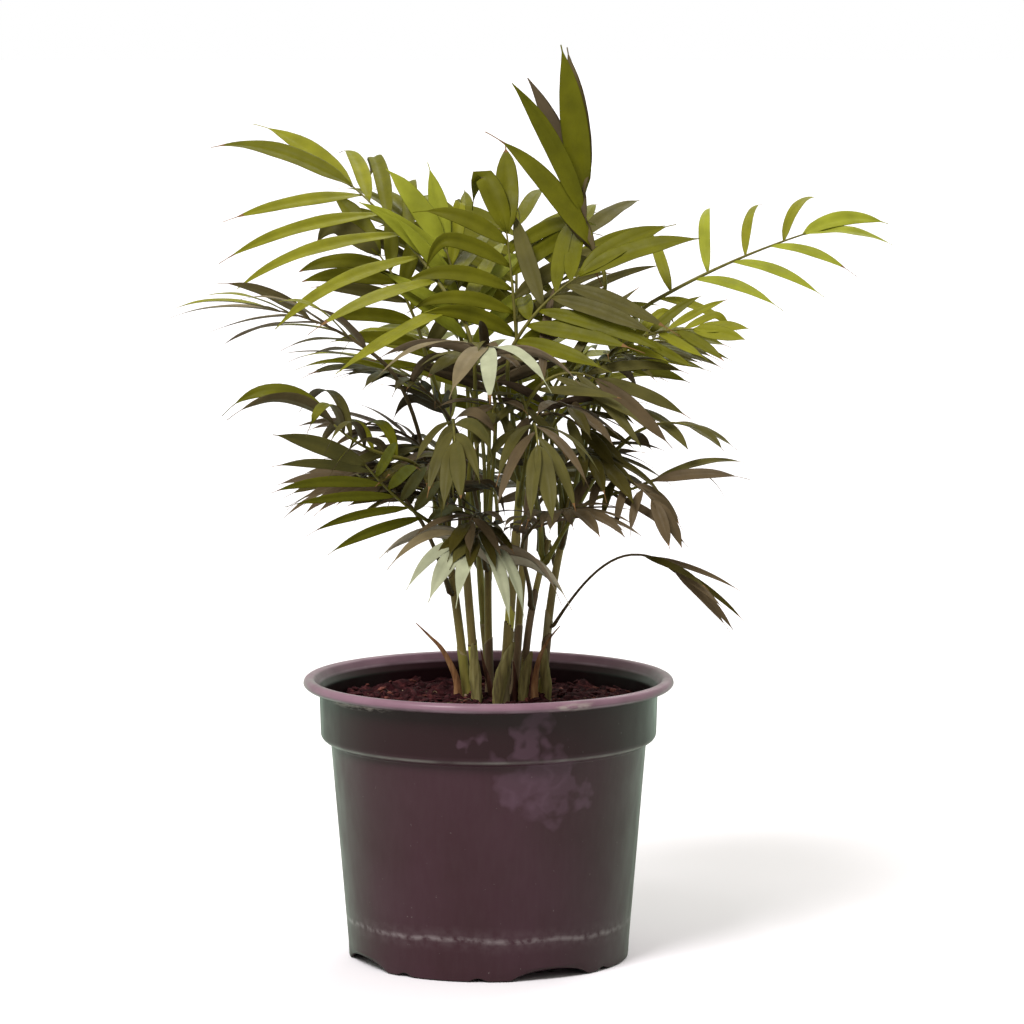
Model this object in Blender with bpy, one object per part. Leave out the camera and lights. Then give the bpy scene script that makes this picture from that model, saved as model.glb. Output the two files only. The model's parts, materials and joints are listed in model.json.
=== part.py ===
"""A parlour palm in its nursery pot, for Blender 4.5, in metres with +Z up.

The plant stands on Z = 0 with the pot's axis on Z, and +Y points away from the viewer. The pot and
the soil are turned shapes. Each cane is a tapering limb, and each frond is one solid: a stalk, a rib
and two rows of thin leaflets, whose places come from the named sizes of its row in FRONDS.
"""

import math
import random
from collections import namedtuple

import bmesh
import bpy
import numpy as np
from mathutils import Vector
from mathutils.bvhtree import BVHTree

MM = 0.001
GAP = 0.3 * MM  # the air left where one solid is carried by another

# Pot, in metres
POT_SEGMENTS = 40
POT_HEIGHT = 0.0985
RIM_RADIUS = 0.0650
RIM_LIP = 0.0036
RIM_WIDTH = 0.0052
COLLAR_RADIUS = 0.0588
COLLAR_FOOT = 0.0772
BODY_TOP_RADIUS = 0.0553
FOOT_RADIUS = 0.0492
WALL = 0.0014
STEP_DROP = 0.0016
FLOOR_LEVEL = 0.0040
FLOOR_THICKNESS = 0.0016
PAD_RADIUS = 0.0130
ARCHES = 4
ARCH_LIFT = 0.0028
ARCH_HALF_WIDTH = 12.0
ARCH_HEADING = 27.0
DRAIN_HOLES = 6
DRAIN_RADIUS = 0.0040
DRAIN_RING = 0.0300
DRAIN_SIDES = 8
DRAIN_CUT = 0.0200

# Soil, in metres
SOIL_LEVEL = 0.0885
SOIL_EDGE_LEVEL = 0.0868
SOIL_FLAT_RADIUS = 0.0300
SOIL_SEGMENTS = 20

# Plain colours, as linear red, green and blue, and roughnesses
POT_FINISH = ((0.060, 0.036, 0.044), 0.42)
SOIL_FINISH = ((0.020, 0.011, 0.010), 0.95)
CANE_FINISH = ((0.115, 0.125, 0.035), 0.50)
SHEATH_FINISH = ((0.26, 0.12, 0.045), 0.75)
FROND_FINISH = ((0.090, 0.095, 0.020), 0.48)

# Canes: foot and tip as (x, y) and (x, y, z), then the radii at foot and tip and how far the cane
# bows sideways, all in millimetres
Cane = namedtuple("Cane", "foot tip foot_radius tip_radius bow")
CANES = (
    Cane((-7.5, 12), (-17, 15, 158), 1.9, 1.3, -0.5),
    Cane((-4, 4), (-9.5, 2, 156), 1.9, 1.3, 0.0),
    Cane((0.5, 13), (0, 20, 150), 1.7, 1.2, 0.5),
    Cane((5, 1), (12, -3, 178), 2.1, 1.4, 0.0),
    Cane((9, 16), (15, 24, 172), 1.7, 1.2, 0.3),
    Cane((12, 6), (21, 4, 146), 1.6, 1.1, 2.0),
    Cane((19, 8), (29, 9, 160), 1.9, 1.2, 2.0),
    Cane((1, 22), (-4, 34, 156), 1.7, 1.2, 1.0),
)
CANE_SIDES = 6
CANE_STATIONS = 6
CANE_FLARE = 1.35
CANE_FLARE_HEIGHT = 5.0

# Fronds, in millimetres and degrees. The stalk leaves a cane at a share of its height and meets the
# blade at (x, y, z). The blade's rib sets off along heading at the angle climb, and that angle has
# fallen by fall at its tip. Roll turns the blade about its rib and vee folds its two halves up.
# Spread and skew set the leaflets' angle to the rib, and sag bends them down.
Frond = namedtuple(
    "Frond", "cane share x y z heading climb fall length roll vee pairs leaf width spread skew sag"
)
FRONDS = (
    # upper left
    Frond(1, 0.95, -9, -4, 224, 137, 49, 19, 71, -6, 3, 7, 72, 6.0, 73, -24, 0.45),
    Frond(7, 0.95, -22, 16, 210, 150, 74, 26, 40, -30, 0, 6, 38, 5.6, 58, -6, 0.50),
    # middle left, seen on edge
    Frond(0, 0.92, -39, -12, 212, 181, 39, 28, 37, 22, 5, 6, 44, 5.2, 53, 2, 0.44),
    Frond(0, 0.84, -30, -18, 177, 199, 10, -35, 28, -4, 40, 4, 52, 5.4, 65, 11, 1.48),
    Frond(0, 0.70, -20, -20, 155, 217, 30, -17, 35, -146, 10, 6, 40, 4.8, 56, 10, 0.50),
    # low and near, over the pot
    Frond(3, 0.62, 2, -22, 139, 247, 67, 66, 19, -8, 6, 5, 48, 5.2, 41, -14, 1.51),
    Frond(3, 0.92, 1, -30, 211, 265, 50, 53, 16, -4, 2, 3, 48, 4.8, 54, 4, 1.08),
    # top
    Frond(3, 0.98, 39, 4, 243, 143, 52, -38, 24, 22, -20, 3, 60, 7.2, 7, -9, 0.69),
    Frond(4, 0.95, 10, 2, 213, 110, 80, 10, 42, 0, 0, 6, 43, 6.0, 60, 0, 0.90),
    Frond(7, 0.98, -6, 8, 212, 135, 76, 12, 38, -10, 0, 6, 42, 5.6, 46, 0, 0.35),
    # right of the middle
    Frond(3, 0.97, 9, -10, 216, 4, 60, 28, 33, 45, -9, 6, 49, 6.2, 74, -10, 0.53),
    Frond(6, 0.98, 57, 8, 229, 11, 29, 12, 60, 37, 16, 5, 38, 5.0, 61, -12, 0.95),
    Frond(6, 0.94, 46, -10, 215, 332, 28, 28, 29, 56, -11, 5, 24, 4.2, 43, 0, 0.05),
    Frond(5, 0.92, 16, -20, 200, 350, 55, 85, 24, 60, 0, 4, 40, 5.0, 50, 0, 0.30),
    Frond(6, 0.90, 48, -6, 182, 334, 43, 56, 25, 8, -8, 3, 22, 3.8, 40, 2, 0.83),
    Frond(6, 0.78, 35, -16, 170, 319, 19, 61, 30, 9, -8, 6, 23, 4.0, 81, -1, 1.27),
    Frond(5, 0.88, 40, -18, 164, 349, 11, -14, 18, 26, -13, 2, 41, 4.0, 45, -3, 0.47),
    Frond(6, 0.38, 52, -14, 143, 350, 0, 40, 12, 0, 0, 3, 38, 2.8, 24, 10, 0.30),
    # the middle of the front
    Frond(1, 0.80, -12, -28, 191, 272, 9, 39, 27, 32, 13, 4, 32, 5.0, 42, -1, 1.36),
    Frond(3, 0.80, 15, -30, 188, 273, 24, 55, 36, -2, -11, 4, 36, 5.4, 45, -6, 1.36),
    Frond(5, 0.60, 13, -18, 150, 303, 44, 44, 32, 0, 0, 5, 34, 5.0, 52, 0, 0.60),
    # inside the crown
    Frond(2, 0.90, -14, 14, 188, 208, 58, 50, 34, 0, 0, 5, 34, 5.0, 56, 0, 0.50),
    Frond(2, 0.97, 2, 8, 196, 258, 62, 60, 36, 0, 0, 5, 40, 5.2, 58, 0, 0.50),
    Frond(4, 0.90, 26, 14, 194, 325, 58, 50, 36, 0, 0, 5, 40, 5.0, 56, 0, 0.50),
    Frond(0, 0.55, -27, 0, 158, 178, 56, 60, 24, -20, 0, 5, 31, 4.8, 60, 0, 0.40),
    Frond(2, 0.75, -9, 0, 160, 238, 62, 70, 30, 0, 0, 5, 36, 5.0, 60, 0, 0.60),
    Frond(4, 0.75, 24, 6, 168, 294, 60, 80, 32, 0, 0, 5, 36, 5.0, 60, 0, 0.60),
    Frond(6, 0.90, 44, 14, 206, 40, 40, 40, 28, 30, 0, 5, 32, 5.2, 56, 0, 0.40),
)

# The back of the crown: fronds fanned over headings in tiers. Each tier has the share of the cane's
# height where its stalks leave, the reach and level of its blades, and their climb, fall and lengths.
Tier = namedtuple("Tier", "share reach level climb fall length leaf")
TIERS = (
    Tier(0.96, 30, 213, 66, 34, 46, 46),
    Tier(0.82, 34, 186, 56, 50, 42, 46),
    Tier(0.68, 32, 158, 42, 56, 36, 42),
)
BACK_COUNT = 12
BACK_SEED = 11
BACK_HEADINGS = (60, 140)
BACK_CANES = (6, 4, 2, 7, 0)
CROWN_MIDDLE = (6, 16)
LEAF_SEED = 100

# A solid is grown by this many millimetres for the test that it keeps clear, and these are the turns
# in degrees, rises in millimetres and shares of its length that are tried until it does
ROOM = 0.12
RISES = (0, 2, -2, 4, -4, 7, -7)
SWINGS = (0, 25, -25, 50, -50, 80, -80, 120, -120, 160)
LENGTH_SHARES = (1.0, 0.85, 0.7)
LIFTS = (0, 7, -7, 14, -14, 22, -22)
ASIDES = (0, 6, -6, 12, -12)

# Dry sheaths: points up the middle of each and its width at the foot, in millimetres
SHEATHS = (
    (((-10.5, 6.8, 88.8), (-11.5, 6.4, 97), (-16, 6, 106.5), (-21, 5.6, 112), (-25.5, 5, 116.5)), 4.4),
    (((16.2, 1.8, 88.8), (16.4, 1.6, 97), (18, 1.4, 105), (21, 1.2, 111), (25, 1, 116)), 4.0),
)

SHEATH_THICKNESS = 0.4
SHEATH_THREAD = 0.18

# Stalks and ribs: steps and radii in millimetres
RIB_STEPS = 5
STALK_STEPS = 4
STALK_RADIUS = 0.85
BLADE_RADIUS = 0.72
TIP_RADIUS = 0.52
RIB_SIDES = 3
STALK_CLEAR = 0.30
STALK_RISE = 0.6

# Leaflets: stations along a leaflet and its width at each, as shares; the depth of its keel and fold
# as shares of its length and half width; how much it sweeps forward; the pairs' places on the rib
LEAF_STATIONS = (0.0, 0.27, 0.68)
LEAF_OUTLINE = (0.10, 0.94, 0.84)
LEAF_KEEL = 0.012
LEAF_LEAST_KEEL = 0.45
LEAF_FOLD = 0.16
LEAF_SWEEP = 0.30
LEAF_STAGGER = 0.18
FIRST_PAIR = 0.35
TIP_PAIR = 0.90
LAST_SHARE = 0.985
LEAF_TURN = 5.0
FOLD_TURN = 6.0
TERMINAL_WIDTH = 1.35
TERMINAL_LENGTH = 0.86
TERMINAL_SPREAD = 12.0


def unit(vector):
    """The vector at length one."""
    return vector / np.linalg.norm(vector)


def turned(vector, axis, degrees):
    """The vector turned about a unit axis."""
    angle = math.radians(degrees)
    cross = np.cross(axis, vector)
    along = axis * np.dot(axis, vector) * (1 - math.cos(angle))
    return vector * math.cos(angle) + cross * math.sin(angle) + along


def back_fronds():
    """The fronds at the back, spread evenly over their headings and dealt out to the tiers."""
    rng = random.Random(BACK_SEED)
    low, high = BACK_HEADINGS
    fronds = []
    for index in range(BACK_COUNT):
        tier = TIERS[index % len(TIERS)]
        heading = low + (high - low) * index / (BACK_COUNT - 1)
        cane = BACK_CANES[index * len(BACK_CANES) // BACK_COUNT]
        reach = tier.reach * rng.uniform(0.85, 1.1)
        fronds.append(
            Frond(
                cane=cane,
                share=tier.share,
                x=CROWN_MIDDLE[0] + reach * math.cos(math.radians(heading)),
                y=CROWN_MIDDLE[1] + reach * math.sin(math.radians(heading)),
                z=tier.level + rng.uniform(-5, 5),
                heading=heading + rng.uniform(-8, 8),
                climb=tier.climb,
                fall=tier.fall,
                length=tier.length * rng.uniform(0.92, 1.06),
                roll=rng.uniform(-15, 15),
                vee=0,
                pairs=5,
                leaf=tier.leaf,
                width=5.4,
                spread=56,
                skew=0,
                sag=0.45,
            )
        )
    return fronds


def cane_line(cane, steps=CANE_STATIONS):
    """Points in millimetres up the middle of a cane, from its flat cut on the soil."""
    foot = np.array((*cane.foot, (SOIL_LEVEL + GAP) / MM))
    tip = np.array(cane.tip, float)
    shares = np.linspace(0.0, 1.0, steps)
    bulge = np.array((cane.bow, 0.0, 0.0))
    return [foot + (tip - foot) * t - bulge * math.sin(math.pi * t) for t in shares]


def cane_radius(cane, share):
    """The cane's radius in millimetres at a share of its height, without its flare."""
    return cane.foot_radius + (cane.tip_radius - cane.foot_radius) * share


def rib_directions(frond, steps=RIB_STEPS):
    """The unit directions of the rib's steps, as the climb falls along it."""
    heading = math.radians(frond.heading)
    out = []
    for step in range(steps):
        climb = math.radians(frond.climb - frond.fall * (step + 0.5) / steps)
        level = math.cos(climb)
        out.append(np.array((math.cos(heading) * level, math.sin(heading) * level, math.sin(climb))))
    return out


def rib_line(frond, steps=RIB_STEPS):
    """Points in millimetres along the rib of the blade."""
    points = [np.array((frond.x, frond.y, frond.z), float)]
    for direction in rib_directions(frond, steps):
        points.append(points[-1] + direction * frond.length / steps)
    return points


def stalk_line(frond, swing=0.0, steps=STALK_STEPS):
    """Points along the stalk, from just clear of its cane to the foot of the blade."""
    cane = CANES[frond.cane]
    axis = cane_line(cane, 41)
    place = frond.share * 40
    low = min(int(place), 39)
    on_axis = axis[low] + (axis[low + 1] - axis[low]) * (place - low)
    up = unit(axis[low + 1] - axis[low])
    end = np.array((frond.x, frond.y, frond.z), float)
    out = end - on_axis
    out = unit(out - up * np.dot(out, up))
    out = turned(out, up, swing)
    rise = max(0.0, np.dot(unit(up * STALK_RISE + unit(end - on_axis)), up))
    clear = cane_radius(cane, frond.share) + STALK_RADIUS * rise + STALK_CLEAR
    start = on_axis + out * clear
    span = np.linalg.norm(end - start)
    leave = unit(up * STALK_RISE + unit(end - start)) * span
    arrive = rib_directions(frond)[0] * span * 0.8
    points = []
    for t in np.linspace(0.0, 1.0, steps + 1):
        points.append(
            start * (2 * t**3 - 3 * t**2 + 1)
            + leave * (t**3 - 2 * t**2 + t)
            + end * (3 * t**2 - 2 * t**3)
            + arrive * (t**3 - t**2)
        )
    return points


def blade_frame(frond, tangent):
    """The blade's side and normal directions where its rib runs along tangent."""
    heading = math.radians(frond.heading)
    side = np.array((math.sin(heading), -math.cos(heading), 0.0))
    return turned(side, tangent, frond.roll), turned(np.cross(side, tangent), tangent, frond.roll)


def leaflet_rows(frond, rng):
    """Each leaflet as a foot, a direction, a normal, the rib's tangent, a length and a width."""
    line, ways = rib_line(frond), rib_directions(frond)
    rows = []
    for pair in range(frond.pairs):
        last = pair == frond.pairs - 1
        for side_sign in (1, -1):
            stagger = 0.0 if last else LEAF_STAGGER * side_sign
            share = min(LAST_SHARE, (pair + FIRST_PAIR - stagger) / (frond.pairs - TIP_PAIR))
            step = min(int(share * RIB_STEPS), RIB_STEPS - 1)
            foot = line[step] + (line[step + 1] - line[step]) * (share * RIB_STEPS - step)
            tangent = ways[step]
            side, normal = blade_frame(frond, tangent)
            spread = frond.spread * (1.06 - 0.30 * share) + frond.skew * side_sign
            length = frond.leaf * (0.70 + 0.30 * math.sin(math.pi * (0.18 + 0.72 * share)))
            width = frond.width
            if last:
                spread = min(TERMINAL_SPREAD, frond.spread / 2) + frond.skew * 0.3 * side_sign
                length, width = frond.leaf * TERMINAL_LENGTH, frond.width * TERMINAL_WIDTH
            spread += rng.uniform(-LEAF_TURN, LEAF_TURN)
            length *= rng.uniform(0.93, 1.05)
            fold = math.radians(frond.vee + rng.uniform(-FOLD_TURN, FOLD_TURN))
            half = side * side_sign * math.cos(fold) + normal * math.sin(fold)
            face = normal * math.cos(fold) - side * side_sign * math.sin(fold)
            angle = math.radians(spread)
            way = tangent * math.cos(angle) + half * math.sin(angle)
            rows.append((foot, way, face, tangent, length, width))
    return rows


def leaflet_sections(row, sag, stations=LEAF_STATIONS, outline=LEAF_OUTLINE):
    """The middle line, side and normal of a leaflet at each station, and its tip."""
    foot, way, normal, tangent, length, width = row
    sections = []
    point = np.array(foot, float)
    before = 0.0
    marks = (*stations, 1.0)
    for share in marks:
        middle = (share + before) / 2
        now = unit(way + tangent * LEAF_SWEEP * middle - np.array((0, 0, 1.0)) * sag * middle)
        point = point + now * length * (share - before)
        before = share
        here = unit(way + tangent * LEAF_SWEEP * share - np.array((0, 0, 1.0)) * sag * share)
        side = unit(np.cross(here, normal))
        sections.append((point, side, unit(np.cross(side, here))))
    return sections, [width * part / 2 for part in outline]


def leaflet_solid(row, sag, grow=0.0):
    """The vertices and faces of a leaflet: a folded blade of three-sided sections and a point."""
    sections, halves = leaflet_sections(row, sag)
    keel = max(row[4] * LEAF_KEEL, LEAF_LEAST_KEEL)
    verts, faces = [], []
    for (point, side, normal), half in zip(sections, halves):
        depth = keel * (0.5 + 0.5 * half / max(halves)) + grow
        fold = normal * (half * LEAF_FOLD + grow)
        verts += [point + side * (half + grow) + fold, point - side * (half + grow) + fold]
        verts.append(point - normal * depth)
    verts.append(sections[-1][0])
    count = len(halves)
    faces.append((0, 2, 1))
    for ring in range(count - 1):
        a, b = ring * 3, ring * 3 + 3
        for k in range(3):
            faces.append((a + k, a + (k + 1) % 3, b + (k + 1) % 3, b + k))
    tip, a = count * 3, (count - 1) * 3
    for k in range(3):
        faces.append((a + k, a + (k + 1) % 3, tip))
    return [v * MM for v in verts], faces


def tube_solid(points, radii, sides, flat_ends=False):
    """The vertices and faces of a tapering tube along points, closed at both ends."""
    verts, faces = [], []
    ways = [unit(b - a) for a, b in zip(points, points[1:])]
    ways = [ways[0]] + [unit(a + b) for a, b in zip(ways, ways[1:])] + [ways[-1]]
    if flat_ends:
        ways[0] = np.array((0.0, 0.0, 1.0))
    side = unit(np.cross(ways[0], np.array((0.13, 0.99, 0.05))))
    for point, way, radius in zip(points, ways, radii):
        side = unit(side - way * np.dot(side, way))
        other = np.cross(way, side)
        for k in range(sides):
            angle = 2 * math.pi * k / sides
            verts.append(point + (side * math.cos(angle) + other * math.sin(angle)) * radius)
    rings = len(points)
    for ring in range(rings - 1):
        a, b = ring * sides, (ring + 1) * sides
        for k in range(sides):
            faces.append((a + k, a + (k + 1) % sides, b + (k + 1) % sides, b + k))
    faces.append(tuple(range(sides - 1, -1, -1)))
    faces.append(tuple(range((rings - 1) * sides, rings * sides)))
    return [v * MM for v in verts], faces


def cane_solid(cane):
    """A cane with a flared foot."""
    line = cane_line(cane)
    shares = list(np.linspace(0.0, 1.0, len(line)))
    radii = [cane_radius(cane, t) for t in shares]
    rise = CANE_FLARE_HEIGHT / (line[-1][2] - line[0][2])
    line.insert(1, line[0] + (line[1] - line[0]) * rise * (len(shares) - 1))
    radii.insert(1, cane_radius(cane, rise))
    radii[0] *= CANE_FLARE
    return tube_solid(line, radii, CANE_SIDES, flat_ends=True)


def rib_solid(frond, swing=0.0, grow=0.0):
    """A frond's stalk and rib as one thin tube."""
    stalk, rib = stalk_line(frond, swing), rib_line(frond)
    points = stalk + rib[1:]
    radii = list(np.linspace(STALK_RADIUS, BLADE_RADIUS, len(stalk)))
    radii += list(np.linspace(BLADE_RADIUS, TIP_RADIUS, len(rib)))[1:]
    return tube_solid(points, [r + grow for r in radii], RIB_SIDES)


def pot_profile():
    """Radius and height round the pot's section, from the middle of its underside to the floor."""
    skirt = FOOT_RADIUS - WALL
    body = BODY_TOP_RADIUS - WALL
    collar = COLLAR_RADIUS - WALL
    lip = POT_HEIGHT - RIM_LIP
    floor = FLOOR_LEVEL + FLOOR_THICKNESS
    return [
        (0.0, 0.0),
        (PAD_RADIUS, 0.0),
        (PAD_RADIUS + 0.0010, FLOOR_LEVEL),
        (skirt - 0.0004, FLOOR_LEVEL),
        (skirt, 0.0),
        (FOOT_RADIUS, 0.0),
        (FOOT_RADIUS + 0.0006, 0.0100),
        (BODY_TOP_RADIUS, COLLAR_FOOT - STEP_DROP),
        (COLLAR_RADIUS - 0.0008, COLLAR_FOOT - 0.0002),
        (COLLAR_RADIUS, COLLAR_FOOT + 0.0010),
        (COLLAR_RADIUS + 0.0005, lip - 0.0006),
        (RIM_RADIUS - 0.0014, lip),
        (RIM_RADIUS, lip + 0.0012),
        (RIM_RADIUS - 0.0004, POT_HEIGHT - 0.0008),
        (RIM_RADIUS - 0.0016, POT_HEIGHT),
        (RIM_RADIUS - RIM_WIDTH + 0.0014, POT_HEIGHT - 0.0003),
        (RIM_RADIUS - RIM_WIDTH, POT_HEIGHT - 0.0026),
        (collar + 0.0006, lip - 0.0016),
        (collar, COLLAR_FOOT + 0.0014),
        (body, COLLAR_FOOT - STEP_DROP),
        (skirt + 0.0006, floor + 0.0010),
        (skirt - 0.0010, floor),
        (0.0, floor),
    ]


def soil_profile():
    """Radius and height round the soil's section, a gap clear of the pot's floor and walls."""
    low = FLOOR_LEVEL + FLOOR_THICKNESS + GAP
    clear = 2 * GAP
    return [
        (0.0, low),
        (FOOT_RADIUS - WALL - 0.0010 - clear, low),
        (FOOT_RADIUS - WALL, low + 0.0030),
        (BODY_TOP_RADIUS - WALL - clear, COLLAR_FOOT - STEP_DROP),
        (COLLAR_RADIUS - WALL - clear, COLLAR_FOOT + 0.0024),
        (COLLAR_RADIUS - WALL - clear, SOIL_EDGE_LEVEL),
        (SOIL_FLAT_RADIUS + 0.0160, SOIL_EDGE_LEVEL + 0.0003),
        (SOIL_FLAT_RADIUS, SOIL_LEVEL),
        (0.0, SOIL_LEVEL),
    ]


def material(name, colour, roughness):
    """A plain material in the part's colour."""
    made = bpy.data.materials.new(name)
    made.use_nodes = True
    shader = made.node_tree.nodes["Principled BSDF"]
    shader.inputs["Base Color"].default_value = (*colour, 1.0)
    shader.inputs["Roughness"].default_value = roughness
    shader.inputs["Metallic"].default_value = 0.0
    return made


def add_object(name, mesh, finish):
    """A mesh as an object in the scene, with its material."""
    obj = bpy.data.objects.new(name, mesh)
    bpy.context.scene.collection.objects.link(obj)
    mesh.materials.clear()
    mesh.materials.append(finish)
    return obj


def mesh_of(name, solid):
    """A mesh from vertices in metres and faces."""
    verts, faces = solid
    mesh = bpy.data.meshes.new(name)
    mesh.from_pydata([tuple(v) for v in verts], [], faces)
    bm = bmesh.new()
    bm.from_mesh(mesh)
    bmesh.ops.recalc_face_normals(bm, faces=bm.faces)
    bmesh.ops.triangulate(bm, faces=bm.faces)
    bm.to_mesh(mesh)
    bm.free()
    return mesh


def turned_mesh(name, profile, segments):
    """A profile spun once round Z, closed where it meets the axis."""
    bm = bmesh.new()
    verts = [bm.verts.new((radius, 0.0, height)) for radius, height in profile]
    edges = [bm.edges.new(pair) for pair in zip(verts, verts[1:])]
    bmesh.ops.spin(
        bm, geom=verts + edges, cent=(0, 0, 0), axis=(0, 0, 1), angle=2 * math.pi, steps=segments
    )
    bmesh.ops.remove_doubles(bm, verts=bm.verts, dist=1e-6)
    bmesh.ops.recalc_face_normals(bm, faces=bm.faces)
    mesh = bpy.data.meshes.new(name)
    bm.to_mesh(mesh)
    bm.free()
    return mesh


def raise_arches(mesh):
    """Lifts the skirt's lower edge into arches between the pot's feet."""
    for vert in mesh.vertices:
        radius = math.hypot(vert.co.x, vert.co.y)
        if vert.co.z > 1e-6 or radius < FOOT_RADIUS - 1.5 * WALL:
            continue
        heading = math.degrees(math.atan2(vert.co.x, -vert.co.y))
        turn = 360 / ARCHES
        away = abs((heading - ARCH_HEADING + turn / 2) % turn - turn / 2)
        if away < ARCH_HALF_WIDTH:
            vert.co.z = ARCH_LIFT * math.cos(math.pi / 2 * away / ARCH_HALF_WIDTH) ** 0.6


def drill_floor(pot):
    """Cuts the ring of drain holes through the pot's floor."""
    group = bpy.data.collections.new("drain cutters")
    bpy.context.scene.collection.children.link(group)
    for index in range(DRAIN_HOLES):
        angle = 2 * math.pi * (index + 0.5) / DRAIN_HOLES
        bm = bmesh.new()
        bmesh.ops.create_cone(
            bm,
            cap_ends=True,
            segments=DRAIN_SIDES,
            radius1=DRAIN_RADIUS,
            radius2=DRAIN_RADIUS,
            depth=DRAIN_CUT,
        )
        mesh = bpy.data.meshes.new("drain cutter")
        bm.to_mesh(mesh)
        bm.free()
        cutter = bpy.data.objects.new("drain cutter", mesh)
        cutter.location = (DRAIN_RING * math.cos(angle), DRAIN_RING * math.sin(angle), FLOOR_LEVEL)
        group.objects.link(cutter)
    apply_boolean(pot, group, "DIFFERENCE")


def apply_boolean(obj, group, operation):
    """Applies one Boolean on a collection and removes the collection's objects."""
    modifier = obj.modifiers.new("joined", "BOOLEAN")
    modifier.operand_type = "COLLECTION"
    modifier.collection = group
    modifier.operation = operation
    modifier.solver = "EXACT"
    graph = bpy.context.evaluated_depsgraph_get()
    joined = bpy.data.meshes.new_from_object(obj.evaluated_get(graph))
    obj.modifiers.clear()
    before = obj.data
    obj.data = joined
    joined.name = before.name
    bpy.data.meshes.remove(before)
    for part in list(group.objects):
        data = part.data
        bpy.data.objects.remove(part)
        bpy.data.meshes.remove(data)
    bpy.data.collections.remove(group)


def keep_outer_shell(mesh):
    """Drops loose scraps and sealed hollows, keeping the largest shell."""
    bm = bmesh.new()
    bm.from_mesh(mesh)
    left, shells = set(bm.faces), []
    while left:
        stack = [left.pop()]
        shell = list(stack)
        while stack:
            for edge in stack.pop().edges:
                for face in edge.link_faces:
                    if face in left:
                        left.remove(face)
                        stack.append(face)
                        shell.append(face)
        shells.append(shell)
    shells.sort(key=len)
    for shell in shells[:-1]:
        bmesh.ops.delete(bm, geom=shell, context="FACES")
    bmesh.ops.delete(bm, geom=[v for v in bm.verts if not v.link_faces], context="VERTS")
    bmesh.ops.triangulate(bm, faces=bm.faces, quad_method="FIXED", ngon_method="EAR_CLIP")
    bm.to_mesh(mesh)
    bm.free()


class Space:
    """The solids placed so far, with a test for room beside them."""

    def __init__(self):
        self.owners, self.lows, self.highs, self.trees = [], [], [], []

    def add(self, owner, solid):
        """Takes in one solid of a sub-part."""
        verts, faces = solid
        points = np.array(verts)
        self.owners.append(owner)
        self.lows.append(points.min(axis=0))
        self.highs.append(points.max(axis=0))
        self.trees.append(BVHTree.FromPolygons([Vector(v) for v in verts], faces))

    def clear(self, owner, solid):
        """Whether a solid keeps clear of every other sub-part."""
        verts, faces = solid
        points = np.array(verts)
        low, high = points.min(axis=0), points.max(axis=0)
        if low[2] < (SOIL_LEVEL + GAP) and math.hypot(*low[:2]) < RIM_RADIUS:
            return False
        near = np.all(np.array(self.lows) <= high, axis=1) & np.all(np.array(self.highs) >= low, axis=1)
        tree = None
        for index in np.nonzero(near)[0]:
            if self.owners[index] == owner:
                continue
            tree = tree or BVHTree.FromPolygons([Vector(v) for v in verts], faces)
            if tree.overlap(self.trees[index]):
                return False
        return True


def settled_frond(space, name, frond):
    """The frond and the swing of its stalk at which stalk and rib keep clear, or None."""
    for rise in RISES:
        moved = frond._replace(z=frond.z + rise, x=frond.x + rise * 0.3)
        for swing in SWINGS:
            if space.clear(name, rib_solid(moved, swing, grow=ROOM)):
                return moved, swing
    return None


def settled_leaflet(space, name, row, sag):
    """The leaflet, turned aside or shortened until it keeps clear, or None."""
    foot, way, normal, tangent, length, width = row
    across = unit(np.cross(way, normal))
    for share in LENGTH_SHARES:
        for lift in LIFTS:
            for aside in ASIDES:
                now = turned(turned(way, across, lift), normal, aside)
                face = unit(np.cross(unit(np.cross(now, normal)), now))
                tried = (foot, now, face, tangent, length * share, width)
                if space.clear(name, leaflet_solid(tried, sag, grow=ROOM)):
                    return leaflet_solid(tried, sag)
    return None


def sheath_solid(points, width):
    """A dry sheath: a thin curling strip of three-sided sections that ends in a thread."""
    points = [np.array(p, float) for p in points]
    verts, faces = [], []
    for index, point in enumerate(points):
        share = index / (len(points) - 1)
        half = width / 2 * (1 - share) ** 1.3 + SHEATH_THREAD
        way = unit(points[min(index + 1, len(points) - 1)] - points[max(index - 1, 0)])
        if index == 0:
            way = np.array((0.0, 0.0, 1.0))
        side = unit(np.cross(way, np.array((0.2, -1.0, 0.1))))
        normal = unit(np.cross(side, way))
        verts += [point + side * half, point - side * half, point + normal * SHEATH_THICKNESS]
    rings = len(points)
    faces = [(0, 2, 1), (rings * 3 - 3, rings * 3 - 2, rings * 3 - 1)]
    for ring in range(rings - 1):
        a, b = ring * 3, ring * 3 + 3
        for k in range(3):
            faces.append((a + k, a + (k + 1) % 3, b + (k + 1) % 3, b + k))
    return [v * MM for v in verts], faces


def build_pot():
    """The pot and the soil in it."""
    plastic = material("pot plastic", *POT_FINISH)
    earth = material("potting soil", *SOIL_FINISH)
    mesh = turned_mesh("pot", pot_profile(), POT_SEGMENTS)
    raise_arches(mesh)
    pot = add_object("pot", mesh, plastic)
    drill_floor(pot)
    add_object("soil", turned_mesh("soil", soil_profile(), SOIL_SEGMENTS), earth)


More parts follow.
